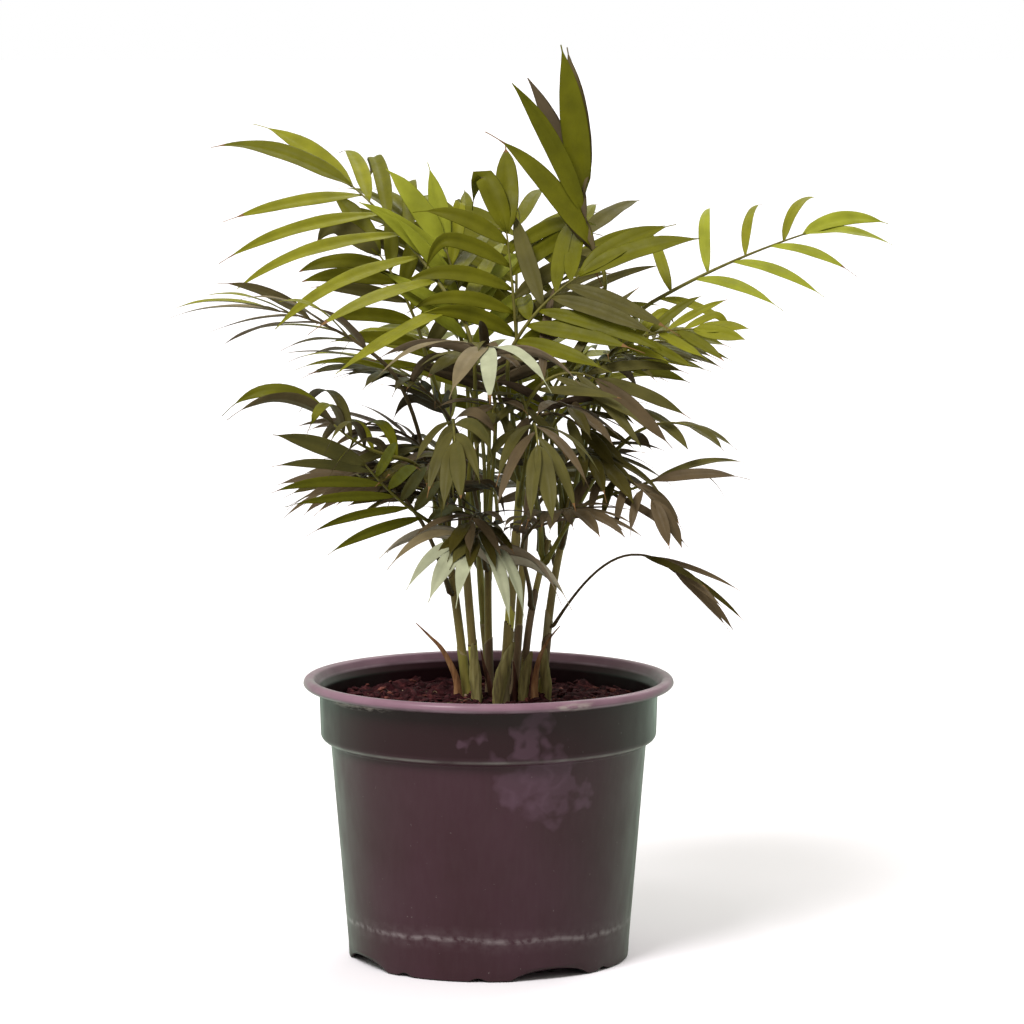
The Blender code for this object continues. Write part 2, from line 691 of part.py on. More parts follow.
def build_canes(space):
    """The canes, each a flared and tapering limb cut flat on the soil, and two dry sheaths."""
    green = material("cane", *CANE_FINISH)
    husk = material("dry sheath", *SHEATH_FINISH)
    for index, cane in enumerate(CANES, 1):
        name = f"cane_{index:02d}"
        space.add(name, cane_solid(cane))
        add_object(name, mesh_of(name, cane_solid(cane)), green)
    for index, (points, width) in enumerate(SHEATHS, 1):
        name = f"dry_sheath_{index:02d}"
        space.add(name, sheath_solid(points, width))
        add_object(name, mesh_of(name, sheath_solid(points, width)), husk)


def build_fronds(space):
    """Every frond as one solid: its stalk and rib first, then its leaflets where there is room."""
    leaf = material("frond", *FROND_FINISH)
    settled = []
    for index, frond in enumerate((*FRONDS, *back_fronds()), 1):
        name = f"frond_{index:02d}"
        found = settled_frond(space, name, frond)
        if found:
            settled.append((name, index, *found))
            space.add(name, rib_solid(*found))
    for name, index, frond, swing in settled:
        rib = add_object(name, mesh_of(name, rib_solid(frond, swing)), leaf)
        group = bpy.data.collections.new(name + " leaflets")
        bpy.context.scene.collection.children.link(group)
        for row in leaflet_rows(frond, random.Random(LEAF_SEED + index)):
            solid = settled_leaflet(space, name, row, frond.sag)
            if solid:
                space.add(name, solid)
                group.objects.link(bpy.data.objects.new("leaflet", mesh_of("leaflet", solid)))
        apply_boolean(rib, group, "UNION")
        keep_outer_shell(rib.data)


def clear_scene():
    """Removes the objects that the scene starts with."""
    for obj in list(bpy.data.objects):
        bpy.data.objects.remove(obj)


def main():
    """Builds the potted palm."""
    clear_scene()
    space = Space()
    build_pot()
    build_canes(space)
    build_fronds(space)


if __name__ == "__main__":
    main()
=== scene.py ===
"""The looks of a parlour palm in its nursery pot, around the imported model, in metres with +Z up."""

import json
import math
import random
from collections import namedtuple
from itertools import product

import bmesh
import bpy
import numpy as np
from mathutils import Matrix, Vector, noise
from mathutils.bvhtree import BVHTree

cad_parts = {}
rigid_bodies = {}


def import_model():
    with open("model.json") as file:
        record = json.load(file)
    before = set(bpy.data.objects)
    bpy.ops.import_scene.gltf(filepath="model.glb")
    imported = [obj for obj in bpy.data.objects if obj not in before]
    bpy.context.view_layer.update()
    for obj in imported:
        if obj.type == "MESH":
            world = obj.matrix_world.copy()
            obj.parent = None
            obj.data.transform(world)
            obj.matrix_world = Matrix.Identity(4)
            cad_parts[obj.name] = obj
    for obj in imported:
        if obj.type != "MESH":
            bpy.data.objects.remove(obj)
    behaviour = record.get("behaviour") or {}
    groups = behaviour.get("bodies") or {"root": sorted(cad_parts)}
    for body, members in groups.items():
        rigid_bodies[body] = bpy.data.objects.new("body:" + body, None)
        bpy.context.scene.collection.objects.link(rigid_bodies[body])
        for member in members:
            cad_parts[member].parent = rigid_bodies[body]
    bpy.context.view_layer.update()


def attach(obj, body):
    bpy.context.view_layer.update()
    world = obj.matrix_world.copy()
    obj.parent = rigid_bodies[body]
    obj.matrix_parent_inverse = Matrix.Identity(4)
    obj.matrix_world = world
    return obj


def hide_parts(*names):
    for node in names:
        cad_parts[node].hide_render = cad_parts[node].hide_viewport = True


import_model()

MM = 0.001
GAP = 0.3 * MM
UP = np.array((0.0, 0.0, 1.0))
RIGHT = np.array((1.0, 0.0, 0.0))
TUBE_SIDE = np.array((0.13, 0.99, 0.05))
SHEATH_SIDE = np.array((0.2, -1.0, 0.1))
BLACK, WHITE = (0, 0, 0), (1, 1, 1)

# Pot and soil, in metres, as in the part's source
POT_HEIGHT = 0.0985
RIM_RADIUS = 0.0650
RIM_LIP = 0.0036
RIM_WIDTH = 0.0052
COLLAR_RADIUS = 0.0588
COLLAR_FOOT = 0.0772
BODY_TOP_RADIUS = 0.0553
FOOT_RADIUS = 0.0492
WALL = 0.0014
STEP_DROP = 0.0016
FLOOR_LEVEL = 0.0040
FLOOR_THICKNESS = 0.0016
PAD_RADIUS = 0.0130
ARCHES = 4
ARCH_LIFT = 0.0036
ARCH_HALF_WIDTH = 17.0
ARCH_HEADING = 27.0
NOTCHES = (-31.0, 27.0)
NOTCH_LIFT = 0.0011
NOTCH_HALF_WIDTH = 3.2
SKIRT_TOP = 0.0030
POT_SEGMENTS = 240
DRAIN_HOLES = 6
DRAIN_RADIUS = 0.0040
DRAIN_RING = 0.0300
SOIL_LEVEL = 0.0885
SOIL_EDGE_LEVEL = 0.0868
SOIL_FLAT_RADIUS = 0.0300
SOIL_HEAP = 0.0022
SOIL_BANK = 0.0013
SOIL_RINGS, SOIL_SEGMENTS = 70, 220
FIBRES = 30

# Marks on the pot, in metres: purple stains and whitish scuffs as a middle and a reach
STAINS = (
    ((0.0136, -0.0574, 0.0876), 0.0085), ((0.0228, -0.0503, 0.0744), 0.0100),
    ((0.0109, -0.0537, 0.0691), 0.0110), ((0.0194, -0.0506, 0.0617), 0.0100),
    ((0.0287, -0.0465, 0.0668), 0.0070), ((-0.0077, -0.0585, 0.0837), 0.0060),
)
STAIN_WARP = 0.010
RIM_SCUFFS = (((-0.046, -0.038, 0.0940), 0.020), ((0.028, -0.056, 0.0965), 0.010))
SCUFF_LEVEL = 0.0142

# Canes and fronds, in millimetres and degrees, as in the part's source
Cane = namedtuple("Cane", "foot tip foot_radius tip_radius bow")
CANES = (
    Cane((-7.5, 12), (-17, 15, 158), 1.9, 1.3, -0.5),
    Cane((-4, 4), (-9.5, 2, 156), 1.9, 1.3, 0.0),
    Cane((0.5, 13), (0, 20, 150), 1.7, 1.2, 0.5),
    Cane((5, 1), (12, -3, 178), 2.1, 1.4, 0.0),
    Cane((9, 16), (15, 24, 172), 1.7, 1.2, 0.3),
    Cane((12, 6), (21, 4, 146), 1.6, 1.1, 2.0),
    Cane((19, 8), (29, 9, 160), 1.9, 1.2, 2.0),
    Cane((1, 22), (-4, 34, 156), 1.7, 1.2, 1.0),
)
CANE_SIDES = 6
CANE_STATIONS = 6
CANE_FLARE = 1.35
CANE_FLARE_HEIGHT = 5.0
Frond = namedtuple(
    "Frond", "cane share x y z heading climb fall length roll vee pairs leaf width spread skew sag"
)
FRONDS = (
    # upper left
    Frond(1, 0.95, -9, -4, 224, 137, 49, 19, 71, -6, 3, 7, 72, 6.0, 73, -24, 0.45),
    Frond(7, 0.95, -22, 16, 210, 150, 74, 26, 40, -30, 0, 6, 38, 5.6, 58, -6, 0.50),
    # middle left, seen on edge
    Frond(0, 0.92, -39, -12, 212, 181, 39, 28, 37, 22, 5, 6, 44, 5.2, 53, 2, 0.44),
    Frond(0, 0.84, -30, -18, 177, 199, 10, -35, 28, -4, 40, 4, 52, 5.4, 65, 11, 1.48),
    Frond(0, 0.70, -20, -20, 155, 217, 30, -17, 35, -146, 10, 6, 40, 4.8, 56, 10, 0.50),
    # low and near, over the pot
    Frond(3, 0.62, 2, -22, 139, 247, 67, 66, 19, -8, 6, 5, 48, 5.2, 41, -14, 1.51),
    Frond(3, 0.92, 1, -30, 211, 265, 50, 53, 16, -4, 2, 3, 48, 4.8, 54, 4, 1.08),
    # top
    Frond(3, 0.98, 39, 4, 243, 143, 52, -38, 24, 22, -20, 3, 60, 7.2, 7, -9, 0.69),
    Frond(4, 0.95, 10, 2, 213, 110, 80, 10, 42, 0, 0, 6, 43, 6.0, 60, 0, 0.90),
    Frond(7, 0.98, -6, 8, 212, 135, 76, 12, 38, -10, 0, 6, 42, 5.6, 46, 0, 0.35),
    # right of the middle
    Frond(3, 0.97, 9, -10, 216, 4, 60, 28, 33, 45, -9, 6, 49, 6.2, 74, -10, 0.53),
    Frond(6, 0.98, 57, 8, 229, 11, 29, 12, 60, 37, 16, 5, 38, 5.0, 61, -12, 0.95),
    Frond(6, 0.94, 46, -10, 215, 332, 28, 28, 29, 56, -11, 5, 24, 4.2, 43, 0, 0.05),
    Frond(5, 0.92, 16, -20, 200, 350, 55, 85, 24, 60, 0, 4, 40, 5.0, 50, 0, 0.30),
    Frond(6, 0.90, 48, -6, 182, 334, 43, 56, 25, 8, -8, 3, 22, 3.8, 40, 2, 0.83),
    Frond(6, 0.78, 35, -16, 170, 319, 19, 61, 30, 9, -8, 6, 23, 4.0, 81, -1, 1.27),
    Frond(5, 0.88, 40, -18, 164, 349, 11, -14, 18, 26, -13, 2, 41, 4.0, 45, -3, 0.47),
    Frond(6, 0.38, 52, -14, 143, 350, 0, 40, 12, 0, 0, 3, 38, 2.8, 24, 10, 0.30),
    # the middle of the front
    Frond(1, 0.80, -12, -28, 191, 272, 9, 39, 27, 32, 13, 4, 32, 5.0, 42, -1, 1.36),
    Frond(3, 0.80, 15, -30, 188, 273, 24, 55, 36, -2, -11, 4, 36, 5.4, 45, -6, 1.36),
    Frond(5, 0.60, 13, -18, 150, 303, 44, 44, 32, 0, 0, 5, 34, 5.0, 52, 0, 0.60),
    # inside the crown
    Frond(2, 0.90, -14, 14, 188, 208, 58, 50, 34, 0, 0, 5, 34, 5.0, 56, 0, 0.50),
    Frond(2, 0.97, 2, 8, 196, 258, 62, 60, 36, 0, 0, 5, 40, 5.2, 58, 0, 0.50),
    Frond(4, 0.90, 26, 14, 194, 325, 58, 50, 36, 0, 0, 5, 40, 5.0, 56, 0, 0.50),
    Frond(0, 0.55, -27, 0, 158, 178, 56, 60, 24, -20, 0, 5, 31, 4.8, 60, 0, 0.40),
    Frond(2, 0.75, -9, 0, 160, 238, 62, 70, 30, 0, 0, 5, 36, 5.0, 60, 0, 0.60),
    Frond(4, 0.75, 24, 6, 168, 294, 60, 80, 32, 0, 0, 5, 36, 5.0, 60, 0, 0.60),
    Frond(6, 0.90, 44, 14, 206, 40, 40, 40, 28, 30, 0, 5, 32, 5.2, 56, 0, 0.40),
)
Tier = namedtuple("Tier", "share reach level climb fall length leaf")
TIERS = (
    Tier(0.96, 30, 213, 66, 34, 46, 46),
    Tier(0.82, 34, 186, 56, 50, 42, 46),
    Tier(0.68, 32, 158, 42, 56, 36, 42),
)
BACK_COUNT = 12
BACK_SEED = 11
BACK_HEADINGS = (60, 140)
BACK_CANES = (6, 4, 2, 7, 0)
CROWN_MIDDLE = (6, 16)
# small fronds in the heart of the crown and leaflets in between, which the source doesn't have
INNER_COUNT = 20
INNER_SEED = 23
INNER_HEADINGS = (165, 375)
INNER_CANES = (0, 1, 3, 5, 6)
INNER_LEVELS = (151, 199)
INNER_REACH = (10, 30)
GOLDEN = 0.618034
INNER_RISE = 14
INNER_FORWARD = 8
BETWEEN_FRONDS = range(21, 29)
BETWEEN_LENGTH = 0.42
BETWEEN_WIDTH = 0.8
# leaflets and the search for room, as in the part's source
LEAF_SEED = 100
ROOM = 0.12
RISES = (0, 2, -2, 4, -4, 7, -7)
SWINGS = (0, 25, -25, 50, -50, 80, -80, 120, -120, 160)
LENGTH_SHARES = (1.0, 0.85, 0.7)
LIFTS = (0, 7, -7, 14, -14, 22, -22)
ASIDES = (0, 6, -6, 12, -12)
SHEATHS = (
    (((-10.5, 6.8, 88.8), (-11.5, 6.4, 97), (-16, 6, 106.5), (-21, 5.6, 112), (-25.5, 5, 116.5)), 4.4),
    (((16.2, 1.8, 88.8), (16.4, 1.6, 97), (18, 1.4, 105), (21, 1.2, 111), (25, 1, 116)), 4.0),
)
# the looks of the dry sheaths, and flaps of sheath against the canes
HUSK_WIDTH = 0.8
HUSK_STEPS, HUSK_ACROSS, HUSK_THICKNESS = 36, 9, 0.28
HUSK_LOOKS = (
    ("dry husk", (0.120, 0.050, 0.020), (0.300, 0.140, 0.055), (0.420, 0.250, 0.120)),
    ("red husk", (0.045, 0.014, 0.010), (0.120, 0.040, 0.028), (0.210, 0.090, 0.060)),
    ("green sheath", (0.120, 0.092, 0.034), (0.250, 0.215, 0.070), (0.400, 0.350, 0.150)),
)
FLAPS = (
    ("red", ((14.2, 3.6, 88.4), (14.9, 3.2, 94), (14.8, 3.0, 100), (15.0, 3.4, 105)), 4.2),
    ("red", ((1.6, 8.4, 88.4), (0.2, 8.2, 95), (-1.6, 8.2, 101), (-2.8, 8.6, 107)), 3.4),
    ("red", ((8.6, 4.0, 88.4), (9.6, 3.4, 94), (9.2, 3.6, 99), (8.6, 4.4, 103)), 3.6),
    ("green", ((3.2, -3.0, 88.4), (4.2, -3.6, 96), (6.2, -3.8, 104), (9.0, -3.4, 111)), 5.2),
    ("green", ((-3.6, 0.8, 88.4), (-4.2, 0.2, 95), (-4.8, 0.2, 102), (-5.6, 0.6, 110)), 4.6),
    ("green", ((12.2, 2.4, 88.4), (12.4, 1.8, 94), (13.4, 1.6, 101), (15.2, 1.8, 107)), 4.2),
    ("green", ((20.6, 5.0, 88.4), (20.6, 4.4, 94), (19.8, 4.2, 101), (19.8, 4.6, 108)), 4.0),
)
# stalks, ribs and leaflets, as in the part's source, but for the fine steps and the thin frond
SHEATH_THICKNESS = 0.4
SHEATH_THREAD = 0.18
RIB_STEPS = 5
STALK_STEPS = 4
FINE_STEPS = 14
THIN_FROND = 18
AXIS_POINTS = 41
STALK_RADIUS = 0.85
BLADE_RADIUS = 0.72
TIP_RADIUS = 0.52
RIB_SIDES = 3
STALK_CLEAR = 0.30
STALK_RISE = 0.6
LEAF_STATIONS = (0.0, 0.27, 0.68)
LEAF_OUTLINE = (0.10, 0.94, 0.84)
LEAF_KEEL = 0.012
LEAF_LEAST_KEEL = 0.45
LEAF_FOLD = 0.16
LEAF_SWEEP = 0.30
LEAF_STAGGER = 0.18
FIRST_PAIR = 0.35
TIP_PAIR = 0.90
LAST_SHARE = 0.985
LEAF_TURN = 5.0
FOLD_TURN = 6.0
TERMINAL_WIDTH = 1.35
TERMINAL_LENGTH = 0.86
TERMINAL_SPREAD = 12.0

# The finer canes: the levels above the soil where a sleeve of sheath ends, and each sleeve's colour
CANE_FINE = 150
CANE_FINE_SIDES = 20
RING_HEIGHT = 0.55
MOUTH_SLANTS = (1.0, 3.0)
CANE_ZONES = (
    ((17, 44), ("green", "olive", "olive")),
    ((12, 21, 52), ("olive", "yellow", "olive", "brown")),
    ((20, 48), ("brown", "olive", "brown")),
    ((14, 27, 35, 60), ("grey", "olive", "yellow", "olive", "green")),
    ((24, 50), ("brown", "olive", "brown")),
    ((16, 38), ("olive", "brown", "olive")),
    ((9, 22, 30), ("green", "brown", "grey", "olive")),
    ((26,), ("olive", "green")),
)
CANE_COLOURS = {
    "olive": ((0.300, 0.235, 0.075), (0.160, 0.110, 0.040)),
    "green": ((0.300, 0.265, 0.065), (0.180, 0.150, 0.040)),
    "brown": ((0.215, 0.145, 0.085), (0.110, 0.068, 0.040)),
    "grey": ((0.340, 0.285, 0.150), (0.200, 0.160, 0.085)),
    "yellow": ((0.560, 0.530, 0.090), (0.360, 0.310, 0.060)),
}

# The finer leaflets: the outline as width at shares of the length, and the ranges of their draws
FINE_STATIONS = 20
FINE_OUTLINE = (
    (0.0, 0.14), (0.05, 0.36), (0.14, 0.70), (0.28, 0.94), (0.42, 1.0), (0.58, 0.95),
    (0.72, 0.80), (0.84, 0.54), (0.93, 0.26), (1.0, 0.04),
)
THREAD = 0.05
CURLED = 0.16
LIGHT_WAY = np.array((-0.25, -0.80, 0.55))
LEAST_TURN = 14.0
FACE_TURNS = {1: 26.0, 3: 24.0, 8: 84.0, 13: 30.0, 16: 30.0, 18: 62.0}
UNCURLED = (8, 11, 12)
# across the blade: place, ridge and depth, over the top from the left and back along the underside
BLADE_SECTION = (
    (-1.0, 0, 0), (-0.9, 0, 0), (-0.6, 0.035, 0), (-0.3, 0, 0), (0.0, 0, 0), (0.3, 0, 0), (0.6, 0.035, 0),
    (0.9, 0, 0), (1.0, 0, 0), (0.7, 0, 0.22), (0.3, 0, 0.42), (0.0, 0, 1.0), (-0.3, 0, 0.42), (-0.7, 0, 0.22),
)
TOP_FACES = 8
GROOVE = 0.04
TIP_SHARE = 0.93
DRY_SHARE = 0.30
TWISTS, DROOPS = (-16, 16), (0.05, 0.55)
BROAD_WIDTHS, NARROW_WIDTHS = (0.93, 1.08), (0.72, 0.96)
TAPER_ENDS, CURL_STARTS, CURL_BENDS = (0.84, 1.0), (0.48, 0.68), (1.8, 4.0)
WAVES, PHASES, VEES = (0.02, 0.09), (0, 6.28), (0.14, 0.34)

# Tones: linear colours of a leaf's upper side and underside, and the tone it is mixed with. Pale is a painted
# reflection of the sky's sheen on glossy leaves; dusk and deep, given to fronds in the middle, low and inside
# the crown, are part leaf colour and part painted shade
Tone = namedtuple("Tone", "upper under other")
TONES = {
    "olive": Tone((0.202, 0.200, 0.011), (0.160, 0.126, 0.054), "dark"),
    "dark": Tone((0.118, 0.116, 0.004), (0.115, 0.088, 0.040), "dusk"),
    # dusk: a darker leaf colour with painted shade, for fronds in the middle and low in the crown
    "dusk": Tone((0.086, 0.076, 0.018), (0.088, 0.064, 0.036), "brown"),
    "light": Tone((0.265, 0.283, 0.024), (0.190, 0.166, 0.052), "olive"),
    "mauve": Tone((0.185, 0.145, 0.078), (0.170, 0.125, 0.082), "olive"),
    # pale: a painted reflection of the sky's sheen over the leaf's green
    "pale": Tone((0.370, 0.385, 0.260), (0.325, 0.285, 0.212), "mauve"),
    # deep: the darkest leaf colour with painted shade, for fronds inside and low in the crown
    "deep": Tone((0.052, 0.042, 0.005), (0.052, 0.035, 0.016), "dusk"),
    "brown": Tone((0.100, 0.070, 0.036), (0.096, 0.064, 0.042), "deep"),
}
# each frond's tone by its number; the dusk and deep tones of fronds in the middle, low and inside the crown
# carry painted shade
FROND_TONES = (
    "olive", "dark", "mauve", "dark", "dark", "pale", "pale", "dark", "dark", "light",
    "dark", "light", "olive", "dusk", "dusk", "brown", "dusk", "brown", "dusk", "dusk",
    "brown", "deep", "dusk", "dark", "brown", "deep", "deep", "dark", "dark", "olive",
    "deep", "dark", "olive", "dusk", "dark", "olive", "deep", "dark", "olive", "dusk",
)
# the fronds in the heart of the crown take dark tones, part leaf colour and part painted shade
INNER_TONES = ("deep", "brown", "dusk", "deep", "dusk", "brown")
MIXED_SHARE = 0.30
BROAD = (1, 2, 6, 7, 8, 9, 10, 11)

# Bits on the soil: name, count, sizes in millimetres, dark and light
CHIP_LOOKS = (
    ("bark", 460, (0.5, 2.2), (0.020, 0.004, 0.006), (0.072, 0.018, 0.022)),
    ("red_bark", 120, (0.5, 1.8), (0.085, 0.024, 0.020), (0.210, 0.072, 0.056)),
    ("crumb", 16, (0.5, 1.1), (0.30, 0.20, 0.14), (0.52, 0.38, 0.28)),
)

# Light: the sky's colours from the front round to the back, its top, and the suns' ways and angles
FLOOR_REACH = 60.0
SKY_AROUND = (
    (0.0, (0.100, 0.072, 0.068)), (0.34, (0.17, 0.14, 0.13)),
    (0.50, (0.46, 0.78, 0.58)), (1.0, (0.80, 1.0, 0.84)),
)
SKY_TOP = (0.78, 0.75, 0.66)
SUNS = (("key", (0.50, 0.72, -1.0), 2.6, 22), ("rim", (-0.4, -0.9, -1.0), 1.1, 40))
BOUNCE = (0.50, 0.50, 0.50)
FLOOR_SHOWN = (0.93, 0.90, 0.98)
FLOOR_MIRRORED = (0.56, 0.73, 0.64)

# Camera
EYE = (0.0082, -1.60, 0.340)
PITCH_DOWN = 6.55
LENS = 162.25


def unit(vector):
    """The vector at length one."""
    return vector / np.linalg.norm(vector)


def turned(vector, axis, degrees):
    """The vector turned about a unit axis."""
    angle = math.radians(degrees)
    cross = np.cross(axis, vector)
    along = axis * np.dot(axis, vector) * (1 - math.cos(angle))
    return vector * math.cos(angle) + cross * math.sin(angle) + along


def polar(radius, angle):
    """A place on a circle round the middle."""
    return radius * math.cos(angle), radius * math.sin(angle)


def back_fronds():
    """The fronds at the back, spread evenly over their headings and dealt out to the tiers."""
    rng = random.Random(BACK_SEED)
    low, high = BACK_HEADINGS
    fronds = []
    for index in range(BACK_COUNT):
        tier = TIERS[index % len(TIERS)]
        heading = low + (high - low) * index / (BACK_COUNT - 1)
        x, y = polar(tier.reach * rng.uniform(0.85, 1.1), math.radians(heading))
        fronds.append(Frond(
            cane=BACK_CANES[index * len(BACK_CANES) // BACK_COUNT], share=tier.share,
            x=CROWN_MIDDLE[0] + x, y=CROWN_MIDDLE[1] + y,
            z=tier.level + rng.uniform(-5, 5), heading=heading + rng.uniform(-8, 8),
            climb=tier.climb, fall=tier.fall, length=tier.length * rng.uniform(0.92, 1.06),
            roll=rng.uniform(-15, 15), vee=0, pairs=5, leaf=tier.leaf, width=5.4, spread=56,
            skew=0, sag=0.45,
        ))
    return fronds


def inner_fronds():
    """The small fronds in the heart of the crown, finer than the source's, spread by the golden share."""
    rng = random.Random(INNER_SEED)
    base = SOIL_LEVEL / MM
    fronds = []
    for index in range(INNER_COUNT):
        around, up = index * GOLDEN % 1, (index * GOLDEN**2 + 0.5) % 1
        heading = INNER_HEADINGS[0] + (INNER_HEADINGS[1] - INNER_HEADINGS[0]) * around
        level = INNER_LEVELS[0] + (INNER_LEVELS[1] - INNER_LEVELS[0]) * up
        cane = INNER_CANES[int(around * len(INNER_CANES))]
        x, y = polar(rng.uniform(*INNER_REACH), math.radians(heading))
        fronds.append(Frond(
            cane=cane, share=min(0.93, (level - INNER_RISE - base) / (CANES[cane].tip[2] - base)),
            x=CROWN_MIDDLE[0] + x, y=CROWN_MIDDLE[1] - INNER_FORWARD + y,
            z=level, heading=heading + rng.uniform(-20, 20), climb=rng.uniform(20, 55),
            fall=rng.uniform(45, 75), length=rng.uniform(18, 28), roll=rng.uniform(-25, 25),
            vee=0, pairs=4, leaf=rng.uniform(25, 33), width=4.4, spread=rng.uniform(46, 62),
            skew=0, sag=rng.uniform(0.2, 0.7),
        ))
    return fronds


def cane_line(cane, steps=CANE_STATIONS):
    """Points in millimetres up the middle of a cane, from its flat cut on the soil."""
    foot = np.array((*cane.foot, (SOIL_LEVEL + GAP) / MM))
    tip = np.array(cane.tip, float)
    shares = np.linspace(0.0, 1.0, steps)
    bulge = np.array((cane.bow, 0.0, 0.0))
    return [foot + (tip - foot) * t - bulge * math.sin(math.pi * t) for t in shares]


def cane_radius(cane, share):
    """The cane's radius in millimetres at a share of its height, without its flare."""
    return cane.foot_radius + (cane.tip_radius - cane.foot_radius) * share


def rib_directions(frond, steps=RIB_STEPS):
    """The unit directions of the rib's steps, as the climb falls along it."""
    heading = math.radians(frond.heading)
    out = []
    for step in range(steps):
        climb = math.radians(frond.climb - frond.fall * (step + 0.5) / steps)
        out.append(np.array((*polar(math.cos(climb), heading), math.sin(climb))))
    return out


def rib_line(frond, steps=RIB_STEPS):
    """Points in millimetres along the rib of the blade."""
    points = [np.array((frond.x, frond.y, frond.z), float)]
    for direction in rib_directions(frond, steps):
        points.append(points[-1] + direction * frond.length / steps)
    return points


def stalk_line(frond, swing=0.0, steps=STALK_STEPS):
    """Points along the stalk, from just clear of its cane to the foot of the blade."""
    cane = CANES[frond.cane]
    axis = cane_line(cane, AXIS_POINTS)
    place = frond.share * (AXIS_POINTS - 1)
    low = min(int(place), AXIS_POINTS - 2)
    on_axis = axis[low] + (axis[low + 1] - axis[low]) * (place - low)
    up = unit(axis[low + 1] - axis[low])
    end = np.array((frond.x, frond.y, frond.z), float)
    out = end - on_axis
    out = turned(unit(out - up * np.dot(out, up)), up, swing)
    rise = max(0.0, np.dot(unit(up * STALK_RISE + unit(end - on_axis)), up))
    clear = cane_radius(cane, frond.share) + STALK_RADIUS * rise + STALK_CLEAR
    start = on_axis + out * clear
    span = np.linalg.norm(end - start)
    leave = unit(up * STALK_RISE + unit(end - start)) * span
    arrive = rib_directions(frond)[0] * span * 0.8
    points = []
    for t in np.linspace(0.0, 1.0, steps + 1):
        points.append(
            start * (2 * t**3 - 3 * t**2 + 1) + leave * (t**3 - 2 * t**2 + t)
            + end * (3 * t**2 - 2 * t**3) + arrive * (t**3 - t**2)
        )
    return points


def blade_frame(frond, tangent):
    """The blade's side and normal directions where its rib runs along tangent."""
    heading = math.radians(frond.heading)
    side = np.array((math.sin(heading), -math.cos(heading), 0.0))
    return turned(side, tangent, frond.roll), turned(np.cross(side, tangent), tangent, frond.roll)


def leaflet_rows(frond, rng):
    """Each leaflet as a foot, a direction, a normal, the rib's tangent, a length and a width."""
    line, ways = rib_line(frond), rib_directions(frond)
    rows = []
    for pair in range(frond.pairs):
        last = pair == frond.pairs - 1
        for side_sign in (1, -1):
            stagger = 0.0 if last else LEAF_STAGGER * side_sign
            share = min(LAST_SHARE, (pair + FIRST_PAIR - stagger) / (frond.pairs - TIP_PAIR))
            step = min(int(share * RIB_STEPS), RIB_STEPS - 1)
            foot = line[step] + (line[step + 1] - line[step]) * (share * RIB_STEPS - step)
            tangent = ways[step]
            side, normal = blade_frame(frond, tangent)
            spread = frond.spread * (1.06 - 0.30 * share) + frond.skew * side_sign
            length = frond.leaf * (0.70 + 0.30 * math.sin(math.pi * (0.18 + 0.72 * share)))
            width = frond.width
            if last:
                spread = min(TERMINAL_SPREAD, frond.spread / 2) + frond.skew * 0.3 * side_sign
                length, width = frond.leaf * TERMINAL_LENGTH, frond.width * TERMINAL_WIDTH
            spread += rng.uniform(-LEAF_TURN, LEAF_TURN)
            length *= rng.uniform(0.93, 1.05)
            fold = math.radians(frond.vee + rng.uniform(-FOLD_TURN, FOLD_TURN))
            half = side * side_sign * math.cos(fold) + normal * math.sin(fold)
            face = normal * math.cos(fold) - side * side_sign * math.sin(fold)
            angle = math.radians(spread)
            way = tangent * math.cos(angle) + half * math.sin(angle)
            rows.append((foot, way, face, tangent, length, width))
    return rows


def ring_faces(total, sides, inward=False):
    """The four-sided faces between rings of points that follow one another."""
    faces = []
    for a in range(0, total - sides, sides):
        for k in range(sides):
            n = (k + 1) % sides
            face = (a + k, a + n, a + sides + n, a + sides + k)
            faces.append((face[0], *face[:0:-1]) if inward else face)
    return faces


def tube_faces(total, sides, inward=False):
    """The faces of a tube of such rings, closed at both ends."""
    first, last = tuple(range(sides)), tuple(range(total - sides, total))
    ends = [first, last[::-1]] if inward else [first[::-1], last]
    return ring_faces(total, sides, inward) + ends


def leaflet_solid(row, sag, grow=0.0):
    """The plain leaflet of the source: a folded blade of three-sided sections and a point."""
    foot, way, normal, tangent, length, width = row
    sections = []
    point, before = np.array(foot, float), 0.0
    for share in (*LEAF_STATIONS, 1.0):
        middle = (share + before) / 2
        now = unit(way + tangent * LEAF_SWEEP * middle - UP * sag * middle)
        point = point + now * length * (share - before)
        before = share
        here = unit(way + tangent * LEAF_SWEEP * share - UP * sag * share)
        side = unit(np.cross(here, normal))
        sections.append((point, side, unit(np.cross(side, here))))
    halves = [width * part / 2 for part in LEAF_OUTLINE]
    keel = max(length * LEAF_KEEL, LEAF_LEAST_KEEL)
    verts = []
    for (point, side, normal), half in zip(sections, halves):
        depth = keel * (0.5 + 0.5 * half / max(halves)) + grow
        across, fold = side * (half + grow), normal * (half * LEAF_FOLD + grow)
        verts += [point + across + fold, point - across + fold, point - normal * depth]
    tip, a = len(verts), len(verts) - 3
    faces = [(0, 2, 1), *ring_faces(tip, 3), *((a + k, a + (k + 1) % 3, tip) for k in range(3))]
    return [v * MM for v in (*verts, sections[-1][0])], faces


def tube_solid(points, radii, sides, flat_ends=False):
    """The vertices and faces of a tapering tube along points, closed at both ends."""
    ways = [unit(b - a) for a, b in zip(points, points[1:])]
    ways = [ways[0], *(unit(a + b) for a, b in zip(ways, ways[1:])), ways[-1]]
    if flat_ends:
        ways[0] = UP
    side = unit(np.cross(ways[0], TUBE_SIDE))
    verts = []
    for point, way, radius in zip(points, ways, radii):
        side = unit(side - way * np.dot(side, way))
        other = np.cross(way, side)
        for k in range(sides):
            angle = math.tau * k / sides
            verts.append(point + (side * math.cos(angle) + other * math.sin(angle)) * radius)
    return [v * MM for v in verts], tube_faces(len(verts), sides)


